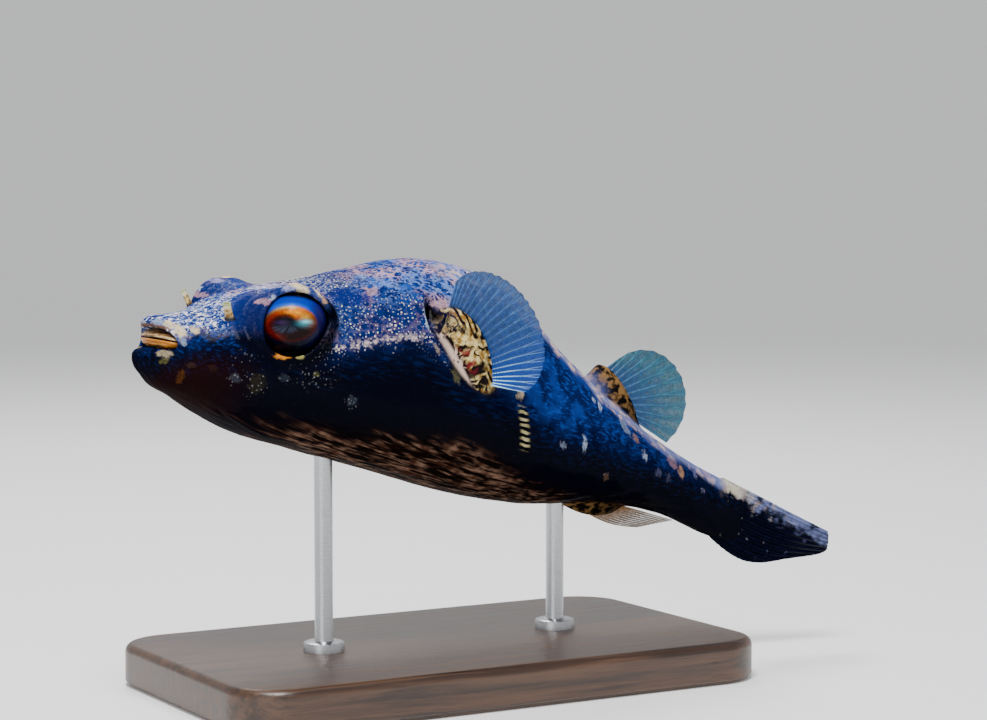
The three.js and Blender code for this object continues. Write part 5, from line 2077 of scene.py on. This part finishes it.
@dataclass(frozen=True)
class CaudalFin(Fin):
    """The closed tail fin, whose rays lie in shallow pleats."""

    node: str = "caudal_fin"
    rays: int = 10
    buried: float = -0.12
    ray_radius: tuple[float, float] = (0.42, 0.13)
    web: tuple[float, float] = (0.62, 0.24)
    slack: float = 0.75
    split: float = 0.5
    stem_end: float = 117.3
    roots: tuple[float, float] = (-2.5, -12.6)
    tip: tuple[float, float] = (141.0, -10.7)
    shortfall: tuple[float, float] = (0.5, 7.5)
    sag: float = 2.5
    closing: float = 0.56
    tuck: float = 2.2

    def point(self, across: Array, out: Array) -> Array:
        """Points of the fin's middle sheet in the bent fish.

        Args:
            across: Places from the first ray, at 0, to the last, at 1.
            out: Places from the root, at 0, to the margin, at 1.

        Returns:
            The points.
        """
        across, out = np.broadcast_arrays(np.asarray(across, float), np.asarray(out, float))
        short = np.where(across < 0.5, self.shortfall[0] * (1 - 2 * across) ** 2,
                         self.shortfall[1] * (2 * across - 1) ** 2)
        x = lerp(self.stem_end, self.tip[0] - short, out)
        middle = lerp(sum(self.roots) / 2, self.tip[1], out)
        share = np.where(out < 0, 1 + self.tuck * out, lerp(1, self.closing, out))
        tall = (self.roots[0] - self.roots[1]) * share
        z = middle + (0.5 - across) * tall
        bow = self.sag * np.sin(math.pi * np.clip(out, 0, 1)) * across
        return self.form.pose.sway(np.stack([x, 0 * x, z - bow], -1))


# ---- Geometry nodes ---------------------------------------------------------------------------------


class Weaver(Nodes):
    """Adds and links nodes of a geometry node tree, and turns its result into a plain mesh."""

    def __init__(self, name: str, inputs: dict[str, tuple[str, object]]) -> None:
        """Starts a tree with a mesh in and a mesh out.

        Args:
            name: Name of the tree.
            inputs: Its named inputs, each a (type, value) pair.
        """
        super().__init__(bpy.data.node_groups.new(name, "GeometryNodeTree"))
        for way in ("INPUT", "OUTPUT"):
            self.tree.interface.new_socket("Geometry", in_out=way, socket_type="NodeSocketGeometry")
        for label, (kind, value) in inputs.items():
            socket = self.tree.interface.new_socket(label, in_out="INPUT", socket_type="NodeSocket" + kind)
            if value is not None:
                socket.default_value = value
        self.start = self.tree.nodes.new("NodeGroupInput")
        self.end = self.tree.nodes.new("NodeGroupOutput")

    def value(self, name: str) -> Pin:
        """Socket of a named input."""
        return self.start.outputs[name]

    def geometry(self, kind: str, inputs: dict | None = None, **settings: object) -> Pin:
        """First output of a new node for geometry."""
        return self.add("GeometryNode" + kind, inputs, **settings).outputs[0]

    def product(self, first: Pin, second: object) -> Pin:
        """Product of two numbers."""
        return self.add("ShaderNodeMath", {0: first, 1: second}, operation="MULTIPLY").outputs[0]

    def attribute(self, name: str, kind: str = "FLOAT") -> Pin:
        """Socket that reads an attribute."""
        return self.geometry("InputNamedAttribute", {"Name": name}, data_type=kind)

    def keep(self, mesh: Pin, name: str, value: Pin, kind: str, **settings: object) -> Pin:
        """Keeps a value on a mesh as a named attribute.

        Args:
            mesh: The mesh.
            name: Name of the attribute.
            value: What it keeps.
            kind: Type of the attribute.
            **settings: The node's other properties.

        Returns:
            The mesh with the attribute.
        """
        inputs = {"Geometry": mesh, "Name": name, "Value": value}
        return self.geometry("StoreNamedAttribute", inputs, data_type=kind, **settings)

    def close(self, mesh: Pin) -> None:
        """Ends the tree with a smooth mesh of its own and the material set.

        Args:
            mesh: The mesh that the tree has made.
        """
        real = self.geometry("RealizeInstances", {0: self.geometry("SetShadeSmooth", {0: mesh})})
        done = self.geometry("SetMaterial", {"Geometry": real, "Material": self.value("Material")})
        self.tree.links.new(done, self.end.inputs[0])

    def weave(self, source: Piece, name: str, values: dict[str, object]) -> Piece:
        """Runs the tree on an object.

        Args:
            source: The object whose mesh goes in.
            name: Name of the piece that comes out.
            values: Values of the tree's inputs, by name.

        Returns:
            A new object with the plain mesh.
        """
        modifier = source.modifiers.new("weave", "NODES")
        modifier.node_group = self.tree
        for item in self.tree.interface.items_tree:
            if item.in_out == "INPUT" and item.name in values:
                modifier[item.identifier] = values[item.name]
        graph = bpy.context.evaluated_depsgraph_get()
        mesh = bpy.data.meshes.new_from_object(source.evaluated_get(graph), depsgraph=graph)
        source.modifiers.remove(modifier)
        mesh.name = name
        return show(name, mesh)


def ray_weaver() -> Weaver:
    """Tree that gives lines a round body, whose radius follows the lines' own attribute.

    Returns:
        The tree.
    """
    w = Weaver("fin_rays", {"Sides": ("Int", 7), "Thickness": ("Float", 1.0), "Material": ("Material", None)})
    curve = w.geometry("MeshToCurve", {"Mesh": w.value("Geometry")})
    profile = w.geometry("CurvePrimitiveCircle", {"Resolution": w.value("Sides"), "Radius": 1.0})
    scale = w.product(w.attribute("radius"), w.value("Thickness"))
    w.close(w.geometry("CurveToMesh", {"Curve": curve, "Profile Curve": profile, "Scale": scale,
                                       "Fill Caps": True}))
    return w


def prickle_weaver() -> Weaver:
    """Tree that scatters small rounded prickles over a skin, thickest where its attribute says.

    Returns:
        The tree.
    """
    w = Weaver("prickles", {
        "Spacing": ("Float", 0.00056), "Density": ("Float", 4.0e6), "Size": ("Float", 0.00021),
        "Height": ("Float", 0.55), "Patch": ("Float", 0.003), "Seed": ("Int", 7),
        "Material": ("Material", None),
    })
    spread = w.add("GeometryNodeDistributePointsOnFaces", {
        "Mesh": w.value("Geometry"), "Distance Min": w.value("Spacing"), "Density Max": w.value("Density"),
        "Density Factor": w.attribute("prickles"), "Seed": w.value("Seed")}, distribute_method="POISSON")
    luck = w.add("FunctionNodeRandomValue", {"Seed": w.value("Seed")}, data_type="FLOAT").outputs[1]
    points = w.keep(spread.outputs["Points"], "luck", luck, "FLOAT")
    ball = w.geometry("MeshIcoSphere", {"Radius": 1.0, "Subdivisions": 1})
    ball = w.keep(ball, "patch", w.geometry("InputPosition"), "FLOAT_VECTOR")
    rare = w.add("ShaderNodeMath", {0: luck, 1: 3.0}, operation="POWER").outputs[0]
    varied = w.add("ShaderNodeMapRange", {"Value": rare, 3: 0.68, 4: 1.5}).outputs[0]
    size = w.product(w.product(w.attribute("grain"), varied), w.value("Size"))
    tall = w.product(size, w.value("Height"))
    scale = w.add("ShaderNodeCombineXYZ", {0: size, 1: size, 2: tall}).outputs[0]
    placed = w.geometry("InstanceOnPoints", {"Points": points, "Instance": ball, "Scale": scale,
                                             "Rotation": spread.outputs["Rotation"]})
    real = w.geometry("RealizeInstances", {0: placed})
    # each prickle is unwrapped as a small patch round the place on the skin where it stands
    flat, half = w.attribute("patch", "FLOAT_VECTOR"), w.product(w.value("Patch"), 0.5)
    patch = w.add("ShaderNodeVectorMath", {0: flat, "Scale": half}, operation="SCALE").outputs[0]
    root = w.attribute("Unwrap", "FLOAT_VECTOR")
    spot = w.add("ShaderNodeVectorMath", {0: root, 1: patch}, operation="ADD").outputs[0]
    w.close(w.keep(real, "OFBake", spot, "FLOAT2", domain="CORNER"))
    return w


# ---- Finishes of the coat, the fins and the stand ---------------------------------------------------


def prickle_finish() -> Material:
    """Granules take the skin's tone at their root, and are pale where the skin is dotted.

    Returns:
        The material.
    """
    g = Graph("prickle")
    place = g.place()
    pale_share = g.channels("marks")[2]
    chance = g.parts(g.cells(place, 1.6).outputs["Color"])[0]
    pale = g.times(pale_share, g.step(chance, 0.05, 0.55, (0.35, 1)))
    warm = g.mix(g.clouds(place, 0.3, 1, 0.4, 0.6), (0.52, 0.56, 0.66), (0.84, 0.74, 0.60))
    lifted = g.mix(1.0, g.attribute("tone"), (1.4, 1.4, 1.5), "MULTIPLY")
    colour = g.mix(g.times(pale, 0.95), lifted, warm)
    grain = g.noise(place, 5, 2)
    return g.finish(Base_Color=colour, Roughness=g.step(grain, 0.3, 0.7, (0.32, 0.5)), Coat_Weight=0.06,
                    Coat_Roughness=0.2, Specular_IOR_Level=0.15)


@dataclass(frozen=True)
class FinFinish:
    """Colours of one fin, from root to margin, and how much of the light its web stops.

    `last_ray` and `last_web` are the colours that the rays and the web take on towards the last ray.
    """

    name: str
    web: tuple[Colour, Colour]
    ray: tuple[Colour, Colour]
    cover: tuple[float, float]
    last_ray: Colour | None = None
    last_web: Colour | None = None

    def _shades(self, g: Graph, pair: tuple[Colour, Colour]) -> tuple[Pin, list]:
        """Colour that goes from root to margin, with clouds in it.

        Args:
            g: The material.
            pair: Colours at the root and at the margin.

        Returns:
            The colour; then the parts of the guide and the place, in a list.
        """
        guide = g.channels("guide")
        place = g.place()
        cloud = g.noise(place, 0.6, 3, 0.6)
        out = g.plus(guide[0], g.step(cloud, 0.2, 0.8, (-0.18, 0.18)))
        colour = g.mix(g.step(out, 0.05, 0.95), *pair)
        dull = g.clouds(place, 1.6, 2, 0.25, 0.75, (0.6, 1.25))
        shade = g.add("VectorMath", {0: colour, "Scale": dull}, operation="SCALE").outputs[0]
        return shade, [*guide, place]

    def web_material(self) -> Material:
        """Thin wet web that lets light through, more so towards its margin.

        Returns:
            The material.
        """
        g = Graph(self.name + "_web")
        colour, (out, across, ridge, place) = self._shades(g, self.web)
        if self.last_web:
            colour = g.mix(g.step(across, 0.5, 0.85), colour, self.last_web)
        creases = g.noise(g.stretched(place, (0.5, 1, 0.5)), 4.5, 2, 0.6)
        colour = g.mix(g.times(ridge, 0.35), colour, self.ray[0])
        cover = g.step(out, 0.0, 0.9, self.cover)
        cover = g.plus(cover, g.times(ridge, 0.12))
        cover = g.plus(cover, g.step(creases, 0.3, 0.8, (-0.06, 0.10)))
        return g.finish(Base_Color=colour, Alpha=cover, Roughness=0.36, Coat_Weight=0.1, Coat_Roughness=0.2,
                        Specular_IOR_Level=0.2, Normal=g.bump(creases, 0.0001, 0.5))

    def ray_material(self) -> Material:
        """Jointed rays, paler than the web.

        Returns:
            The material.
        """
        g = Graph(self.name + "_ray")
        colour, (out, across, _, place) = self._shades(g, self.ray)
        if self.last_ray:
            lit = g.times(g.step(across, 0.6, 0.92), g.step(out, 0.75, 0.1, (0.4, 1)))
            colour = g.mix(lit, colour, self.last_ray)
        joints = g.noise(place, 3.2, 1)
        return g.finish(Base_Color=colour, Roughness=g.step(joints, 0.3, 0.7, (0.32, 0.45)), Coat_Weight=0.1,
                        Coat_Roughness=0.2, Specular_IOR_Level=0.25)


class TailFinish(FinFinish):
    """Opaque dark tail fin with pale patches along its upper edge."""

    def web_material(self) -> Material:
        """Thick dark web between the rays.

        Returns:
            The material.
        """
        g = Graph(self.name + "_web")
        colour, (out, _, _, place) = self._shades(g, self.web)
        ribs = g.noise(g.stretched(place, (0.35, 1, 2.2)), 2.4, 2, 0.6)
        cover = g.step(out, 0.55, 1.0, (1.0, 0.86))
        return g.finish(Base_Color=tail_patches(g, place, colour), Roughness=0.5, Coat_Weight=0.03,
                        Coat_Roughness=0.14, Specular_IOR_Level=0.0, Alpha=cover,
                        Normal=g.bump(ribs, 0.00012, 0.8))

    def ray_material(self) -> Material:
        """Dark rays.

        Returns:
            The material.
        """
        g = Graph(self.name + "_ray")
        colour, (_, _, _, place) = self._shades(g, self.ray)
        return g.finish(Base_Color=tail_patches(g, place, colour), Roughness=0.5, Coat_Weight=0.03,
                        Coat_Roughness=0.14, Specular_IOR_Level=0.0)


SIDE_FIN = FinFinish(
    "pectoral_fin", web=((0.005, 0.040, 0.17), (0.014, 0.060, 0.20)),
    ray=((0.03, 0.08, 0.22), (0.07, 0.16, 0.34)),
    cover=(0.88, 0.66), last_ray=(0.42, 0.72, 0.95), last_web=(0.003, 0.045, 0.28),
)
BACK_FIN = FinFinish(
    "dorsal_fin", web=((0.005, 0.045, 0.16), (0.006, 0.095, 0.14)),
    ray=((0.04, 0.11, 0.24), (0.03, 0.17, 0.22)),
    cover=(0.92, 0.72),
)
UNDER_FIN = FinFinish(
    "anal_fin", web=((0.06, 0.025, 0.012), (0.20, 0.16, 0.13)),
    ray=((0.30, 0.15, 0.05), (0.32, 0.26, 0.20)),
    cover=(0.70, 0.30),
)
TAIL_FIN = TailFinish(
    "tail_fin", web=((0.0012, 0.0016, 0.0065), (0.0022, 0.0030, 0.0110)),
    ray=((0.0016, 0.0022, 0.0090), (0.0035, 0.0050, 0.0200)), cover=(1.0, 0.9),
)


def wood_finish() -> Material:
    """Dark oiled wood with its grain along the fish.

    Returns:
        The material.
    """
    g = Graph("stand_wood")
    place = g.stretched(g.own_place(), (1000, 1000, 1000))
    drift = g.noise(g.stretched(place, (0.012, 0.06, 0.06)), 1.0, 3, 0.55)
    waves = g.add("CombineXYZ", {1: drift, 2: drift}).outputs[0]
    rings = g.vector("ADD", g.stretched(place, (0.02, 0.42, 0.42)), waves)
    bands = g.noise(rings, 1.6, 3, 0.6, 0.6)
    pores = g.noise(g.stretched(place, (0.10, 2.4, 2.4)), 1.5, 2, 0.7)
    colour = g.mix(g.step(bands, 0.3, 0.7), (0.022, 0.010, 0.006), (0.085, 0.040, 0.020))
    colour = g.mix(g.step(pores, 0.62, 0.75, (0, 0.7)), colour, (0.010, 0.005, 0.003))
    height = g.less(bands, g.step(pores, 0.6, 0.75))
    return g.finish(Base_Color=colour, Roughness=g.step(bands, 0.2, 0.8, (0.34, 0.46)), Coat_Weight=0.25,
                    Coat_Roughness=0.25, Normal=g.bump(height, 0.00008, 0.6))


@cache
def steel_finish() -> Material:
    """Steel brushed round the rod.

    Returns:
        The material.
    """
    g = Graph("stand_steel")
    place = g.stretched(g.own_place(), (300, 300, 14000))
    brush = g.noise(place, 1.0, 2, 0.7)
    colour = g.mix(brush, (0.42, 0.43, 0.45), (0.62, 0.63, 0.65))
    return g.finish(Base_Color=colour, Metallic=1.0, Roughness=g.step(brush, 0.2, 0.8, (0.24, 0.38)),
                    Normal=g.bump(brush, 0.00002, 0.5))


# ---- The stand --------------------------------------------------------------------------------------


@dataclass(frozen=True)
class Stand:
    """A wooden base with two steel rods that carry the fish, in millimetres."""

    pose: Pose
    length: float = 96
    width: float = 56
    height: float = 7
    corner: float = 9
    bevel: float = 1.4
    foot: float = 0.6
    rod_x: tuple[float, float] = (-22, 22)
    rod_radius: float = 1.5
    collar: tuple[float, float] = (3.4, 1.6)
    sides: int = 48
    arc: int = 16

    def _outline(self, inset: float) -> Array:
        """Rounded rectangle, drawn in by the inset.

        Args:
            inset: How far it is drawn in.

        Returns:
            Its points, in order.
        """
        radius = max(self.corner - inset, 0.5)
        centre = np.array([self.length / 2 - self.corner, self.width / 2 - self.corner])
        points = []
        for quarter in range(4):
            signs = np.array([(1, 1), (-1, 1), (-1, -1), (1, -1)][quarter])
            for step in np.linspace(0, math.pi / 2, self.arc + 1):
                angle = quarter * math.pi / 2 + step
                points.append(centre * signs + radius * np.array([math.cos(angle), math.sin(angle)]))
        return np.array(points)

    def base(self) -> Piece:
        """Makes the base, with a rounded upper edge and a narrow shadow line at its foot.

        Returns:
            The base.
        """
        turn = np.linspace(0, math.pi / 2, 9)
        profile = [(self.foot + 0.3, 0), (self.foot, 0.15), (self.foot, self.foot), (0.25, self.foot + 0.05),
                   (0, self.foot + 0.3)]
        profile += [(self.bevel * (1 - math.cos(t)), self.height - self.bevel * (1 - math.sin(t)))
                    for t in turn]
        count = 4 * (self.arc + 1)
        rows = [np.hstack([self._outline(inset), np.full((count, 1), z)]) for inset, z in profile]
        return ringed_solid("stand_plinth", rows, wood_finish())

    def rod(self, skin: Piece, index: int) -> Piece:
        """Makes one rod with its collar, up to just inside the skin over it.

        Args:
            skin: The fish's skin, already made.
            index: Which rod, from the front.

        Returns:
            The rod.
        """
        x = self.rod_x[index]
        y = float(self.pose.sway(np.array([self.pose.pivot_x + x, 0.0, 0.0]))[1])
        faces = [face.vertices for face in skin.data.polygons]
        tree = BVHTree.FromPolygons([point.co for point in skin.data.vertices], faces)
        top = tree.ray_cast(Vector((x, y, self.height)) * MM, Vector((0, 0, 1)))[0].z / MM + 0.6
        wide, tall = self.collar
        floor, thin = self.height, self.rod_radius
        profile = [(wide, floor - 0.4), (wide, floor + tall - 0.5), (wide - 0.15, floor + tall - 0.15),
                   (wide - 0.5, floor + tall), (thin + 0.5, floor + tall), (thin + 0.12, floor + tall + 0.12),
                   (thin, floor + tall + 0.5), (thin, top)]
        around = full_turn(self.sides)
        rings = [np.stack([x + r * np.cos(around), y + r * np.sin(around), np.full(self.sides, z)], -1)
                 for r, z in profile]
        return ringed_solid(f"stand_post_{('front', 'rear')[index]}", rings, steel_finish())


# ---- The studio -------------------------------------------------------------------------------------


@dataclass(frozen=True)
class Studio:
    """Pale seamless floor, soft lights and the camera, in metres and degrees."""

    pivot: Place = (0, 0, 0.046)
    azimuth: float = -30
    elevation: float = 4
    distance: float = 0.43
    aim_right: float = 0.0088
    aim_up: float = 0.0076
    lens: float = 94.4
    floor_flat: float = 0.9
    floor_end: float = 1.7
    floor_rise: float = 1.2
    glow: float = 0.20
    sides: int = 96

    def floor(self) -> Piece:
        """Makes the floor, a wide shallow bowl whose rim rises behind the object on every side.

        Returns:
            The floor.
        """
        flat, curved = np.linspace(0.02, self.floor_flat, 8), np.linspace(self.floor_flat, self.floor_end, 28)
        radii = np.concatenate([flat, curved[1:]])
        share = np.clip((radii - self.floor_flat) / (self.floor_end - self.floor_flat), 0, 1)
        heights = self.floor_rise * (1 - np.sqrt(np.maximum(1 - share**2, 0)))
        around = full_turn(self.sides)
        rows = [np.stack([r * np.cos(around), r * np.sin(around), np.full(self.sides, h)], -1)
                for r, h in zip(radii, heights)]
        middle = tuple(range(self.sides))
        faces = [middle, *(f[::-1] for f in grid_faces(len(rows), self.sides, closed=True))]
        g = Graph("floor_paper")
        paper = g.mix(g.noise(g.own_place(), 6, 2), (0.78, 0.78, 0.78), (0.81, 0.81, 0.80))
        finish = g.finish(Base_Color=paper, Roughness=0.8, Emission_Color=(1, 1, 1),
                          Emission_Strength=self.glow)
        floor = new_mesh("floor", np.vstack(rows), faces, finish)
        return floor

    def light(self, name: str, place: Place, size: float, power: float) -> None:
        """Hangs one soft round light that faces the object.

        Args:
            name: Name of the light.
            place: Where it hangs, from the point over the floor that it faces.
            size: Width of the light.
            power: Its power in watts.
        """
        lamp = bpy.data.lights.new(name, "AREA")
        lamp.shape, lamp.size, lamp.energy = "DISK", size, power
        holder = show(name, lamp)
        holder.location = Vector(place) + Vector(self.pivot)
        holder.rotation_euler = (-Vector(place)).to_track_quat("-Z", "Y").to_euler()

    def lights(self) -> None:
        """Hangs the lights and sets the pale surroundings."""
        self.light("key", (-0.16, -0.22, 0.50), 0.22, 5.0)
        self.light("rim", (0.10, 0.34, 0.46), 0.24, 2.6)
        self.light("fill", (-0.75, -0.55, 0.22), 0.60, 1.0)
        world = bpy.data.worlds.new("studio")
        world.use_nodes = True
        world.node_tree.nodes["Background"].inputs[0].default_value = (0.90, 0.93, 1.0, 1)
        world.node_tree.nodes["Background"].inputs[1].default_value = 0.30
        bpy.context.scene.world = world

    def camera(self) -> Piece:
        """Places the camera low on the fish's left, a little ahead of it.

        Returns:
            The camera.
        """
        azimuth, elevation = math.radians(self.azimuth), math.radians(self.elevation)
        back = Vector((math.sin(azimuth) * math.cos(elevation), -math.cos(azimuth) * math.cos(elevation),
                       math.sin(elevation)))
        right = Vector((math.cos(azimuth), math.sin(azimuth), 0))
        up = back.cross(right)
        lens = bpy.data.cameras.new("camera")
        lens.lens, lens.sensor_width = self.lens, 36
        lens.clip_start, lens.clip_end = 0.01, 20
        camera = show("camera", lens)
        aim = Vector(self.pivot) + right * self.aim_right + up * self.aim_up
        camera.location = aim + back * self.distance
        camera.rotation_euler = back.to_track_quat("Z", "Y").to_euler()
        bpy.context.scene.camera = camera
        return camera


# ---- The whole model --------------------------------------------------------------------------------


class Slot(Enum):
    """Material slots of the record."""

    SKIN = "skin"
    BEAK = "beak"
    EYE = "eye"
    NOSTRIL = "nostril"
    FIN = "fin"
    TAIL_FIN = "tail_fin"
    STAND_BASE = "stand_base"
    STAND_ROD = "stand_rod"


@dataclass
class Pufferfish:
    """The fish and its stand, made piece by piece."""

    form: BodyForm = field(default_factory=BodyForm)
    pad: Place = (53.6, 9.2, -47)
    pad_halves: Place = (7.8, 2.8, 3.7)
    pad_sunk: float = 0.4
    dorsal_base: Place = (93.1, 6.8, -48)
    dorsal_halves: Place = (7.6, 2.9, 2.8)
    anal_base: Place = (91.5, -10, -2)
    anal_halves: Place = (6.6, 2.5, 3.1)
    melt: float = 1.2

    def keep(self, piece: Piece, slot: Slot, *nodes: str) -> Piece:
        """Rides a finished piece on the fish and reports it.

        Args:
            piece: The piece.
            slot: The record's slot that it takes its finish from.
            *nodes: CAD nodes that it stands for.

        Returns:
            The piece.
        """
        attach(piece, ROOT)
        if nodes:
            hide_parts(*nodes)
        triangles = sum(len(face.vertices) - 2 for face in piece.data.polygons)
        LOG.info("%s: %d triangles", piece.name, triangles)
        return piece

    def swellings(self) -> list[Swelling]:
        """The fleshy bases of the pectoral fins, left and right, the dorsal fin and the anal fin.

        Returns:
            The four bases, the pectoral ones first.
        """
        pose, found = self.form.pose, []
        x, z, lean = self.pad
        for side in Side:
            y = -side.value * (float(self.form.flank_at(x, z)) - self.pad_sunk)
            found.append(((x, y, z), self.pad_halves, lean))
        bases = ((self.dorsal_base, self.dorsal_halves), (self.anal_base, self.anal_halves))
        found += [((x, 0.0, z), halves, lean) for (x, z, lean), halves in bases]
        return [Swelling(tuple(pose.sway(np.array(middle))), halves, lean, self.melt,
                         float(pose.sway_angle(middle[0]))) for middle, halves, lean in found]

    def body(self) -> Piece:
        """Makes the skin and its prickles.

        Returns:
            The skin.
        """
        skin = Skin(self.form, self.swellings()).build(Markings())
        self.keep(skin, Slot.SKIN, "lip_upper", "lip_lower", "head", "trunk", "tail_stem",
                  "pectoral_base_left", "pectoral_base_right", "dorsal_fin_base", "anal_fin_base")
        coat = prickle_weaver().weave(skin, "prickles", {"Material": prickle_finish()})
        self.keep(coat, Slot.SKIN)
        return skin

    def face(self) -> None:
        """Makes the eyes, the beak and the nostrils."""
        for side in Side:
            self.keep(Eye(Socket(self.form, side)).build(), Slot.EYE, f"eye_{side.word}")
            nostril = Nostril(self.form, side, *NOSTRIL_PLACES[side]).build()
            self.keep(nostril, Slot.NOSTRIL, f"nostril_{side.word}")
        for upper in (True, False):
            self.keep(BeakPlate(self.form, upper).build(), Slot.BEAK, "beak_upper" if upper else "beak_lower")

    def fins(self) -> None:
        """Makes the web and the rays of every fin."""
        weaver = ray_weaver()
        fins = [(PectoralFin(self.form, f"pectoral_fin_{side.word}", side=side), SIDE_FIN, Slot.FIN)
                for side in Side]
        fins += [(DorsalFin(self.form), BACK_FIN, Slot.FIN), (AnalFin(self.form), UNDER_FIN, Slot.FIN),
                 (CaudalFin(self.form), TAIL_FIN, Slot.TAIL_FIN)]
        for fin, finish, slot in fins:
            web = fin.web_mesh()
            web.data.materials.append(finish.web_material())
            self.keep(web, slot, fin.node)
            lines = fin.ray_lines()
            rays = weaver.weave(lines, fin.node + "_rays", {"Material": finish.ray_material()})
            bpy.data.objects.remove(lines)
            self.keep(rays, slot)

    def stand(self, skin: Piece) -> None:
        """Makes the base and the two rods.

        Args:
            skin: The fish's skin, already made.
        """
        stand = Stand(self.form.pose)
        self.keep(stand.base(), Slot.STAND_BASE, "stand_base")
        for index, word in enumerate(("front", "rear")):
            self.keep(stand.rod(skin, index), Slot.STAND_ROD, f"stand_rod_{word}")


def main() -> None:
    """Makes the studio, the fish and its stand."""
    logging.basicConfig(level=logging.INFO, format="%(name)s: %(message)s")
    studio = Studio()
    studio.camera()
    studio.floor()
    studio.lights()
    model = Pufferfish()
    skin = model.body()
    model.face()
    model.fins()
    model.stand(skin)


if __name__ == "__main__":
    main()
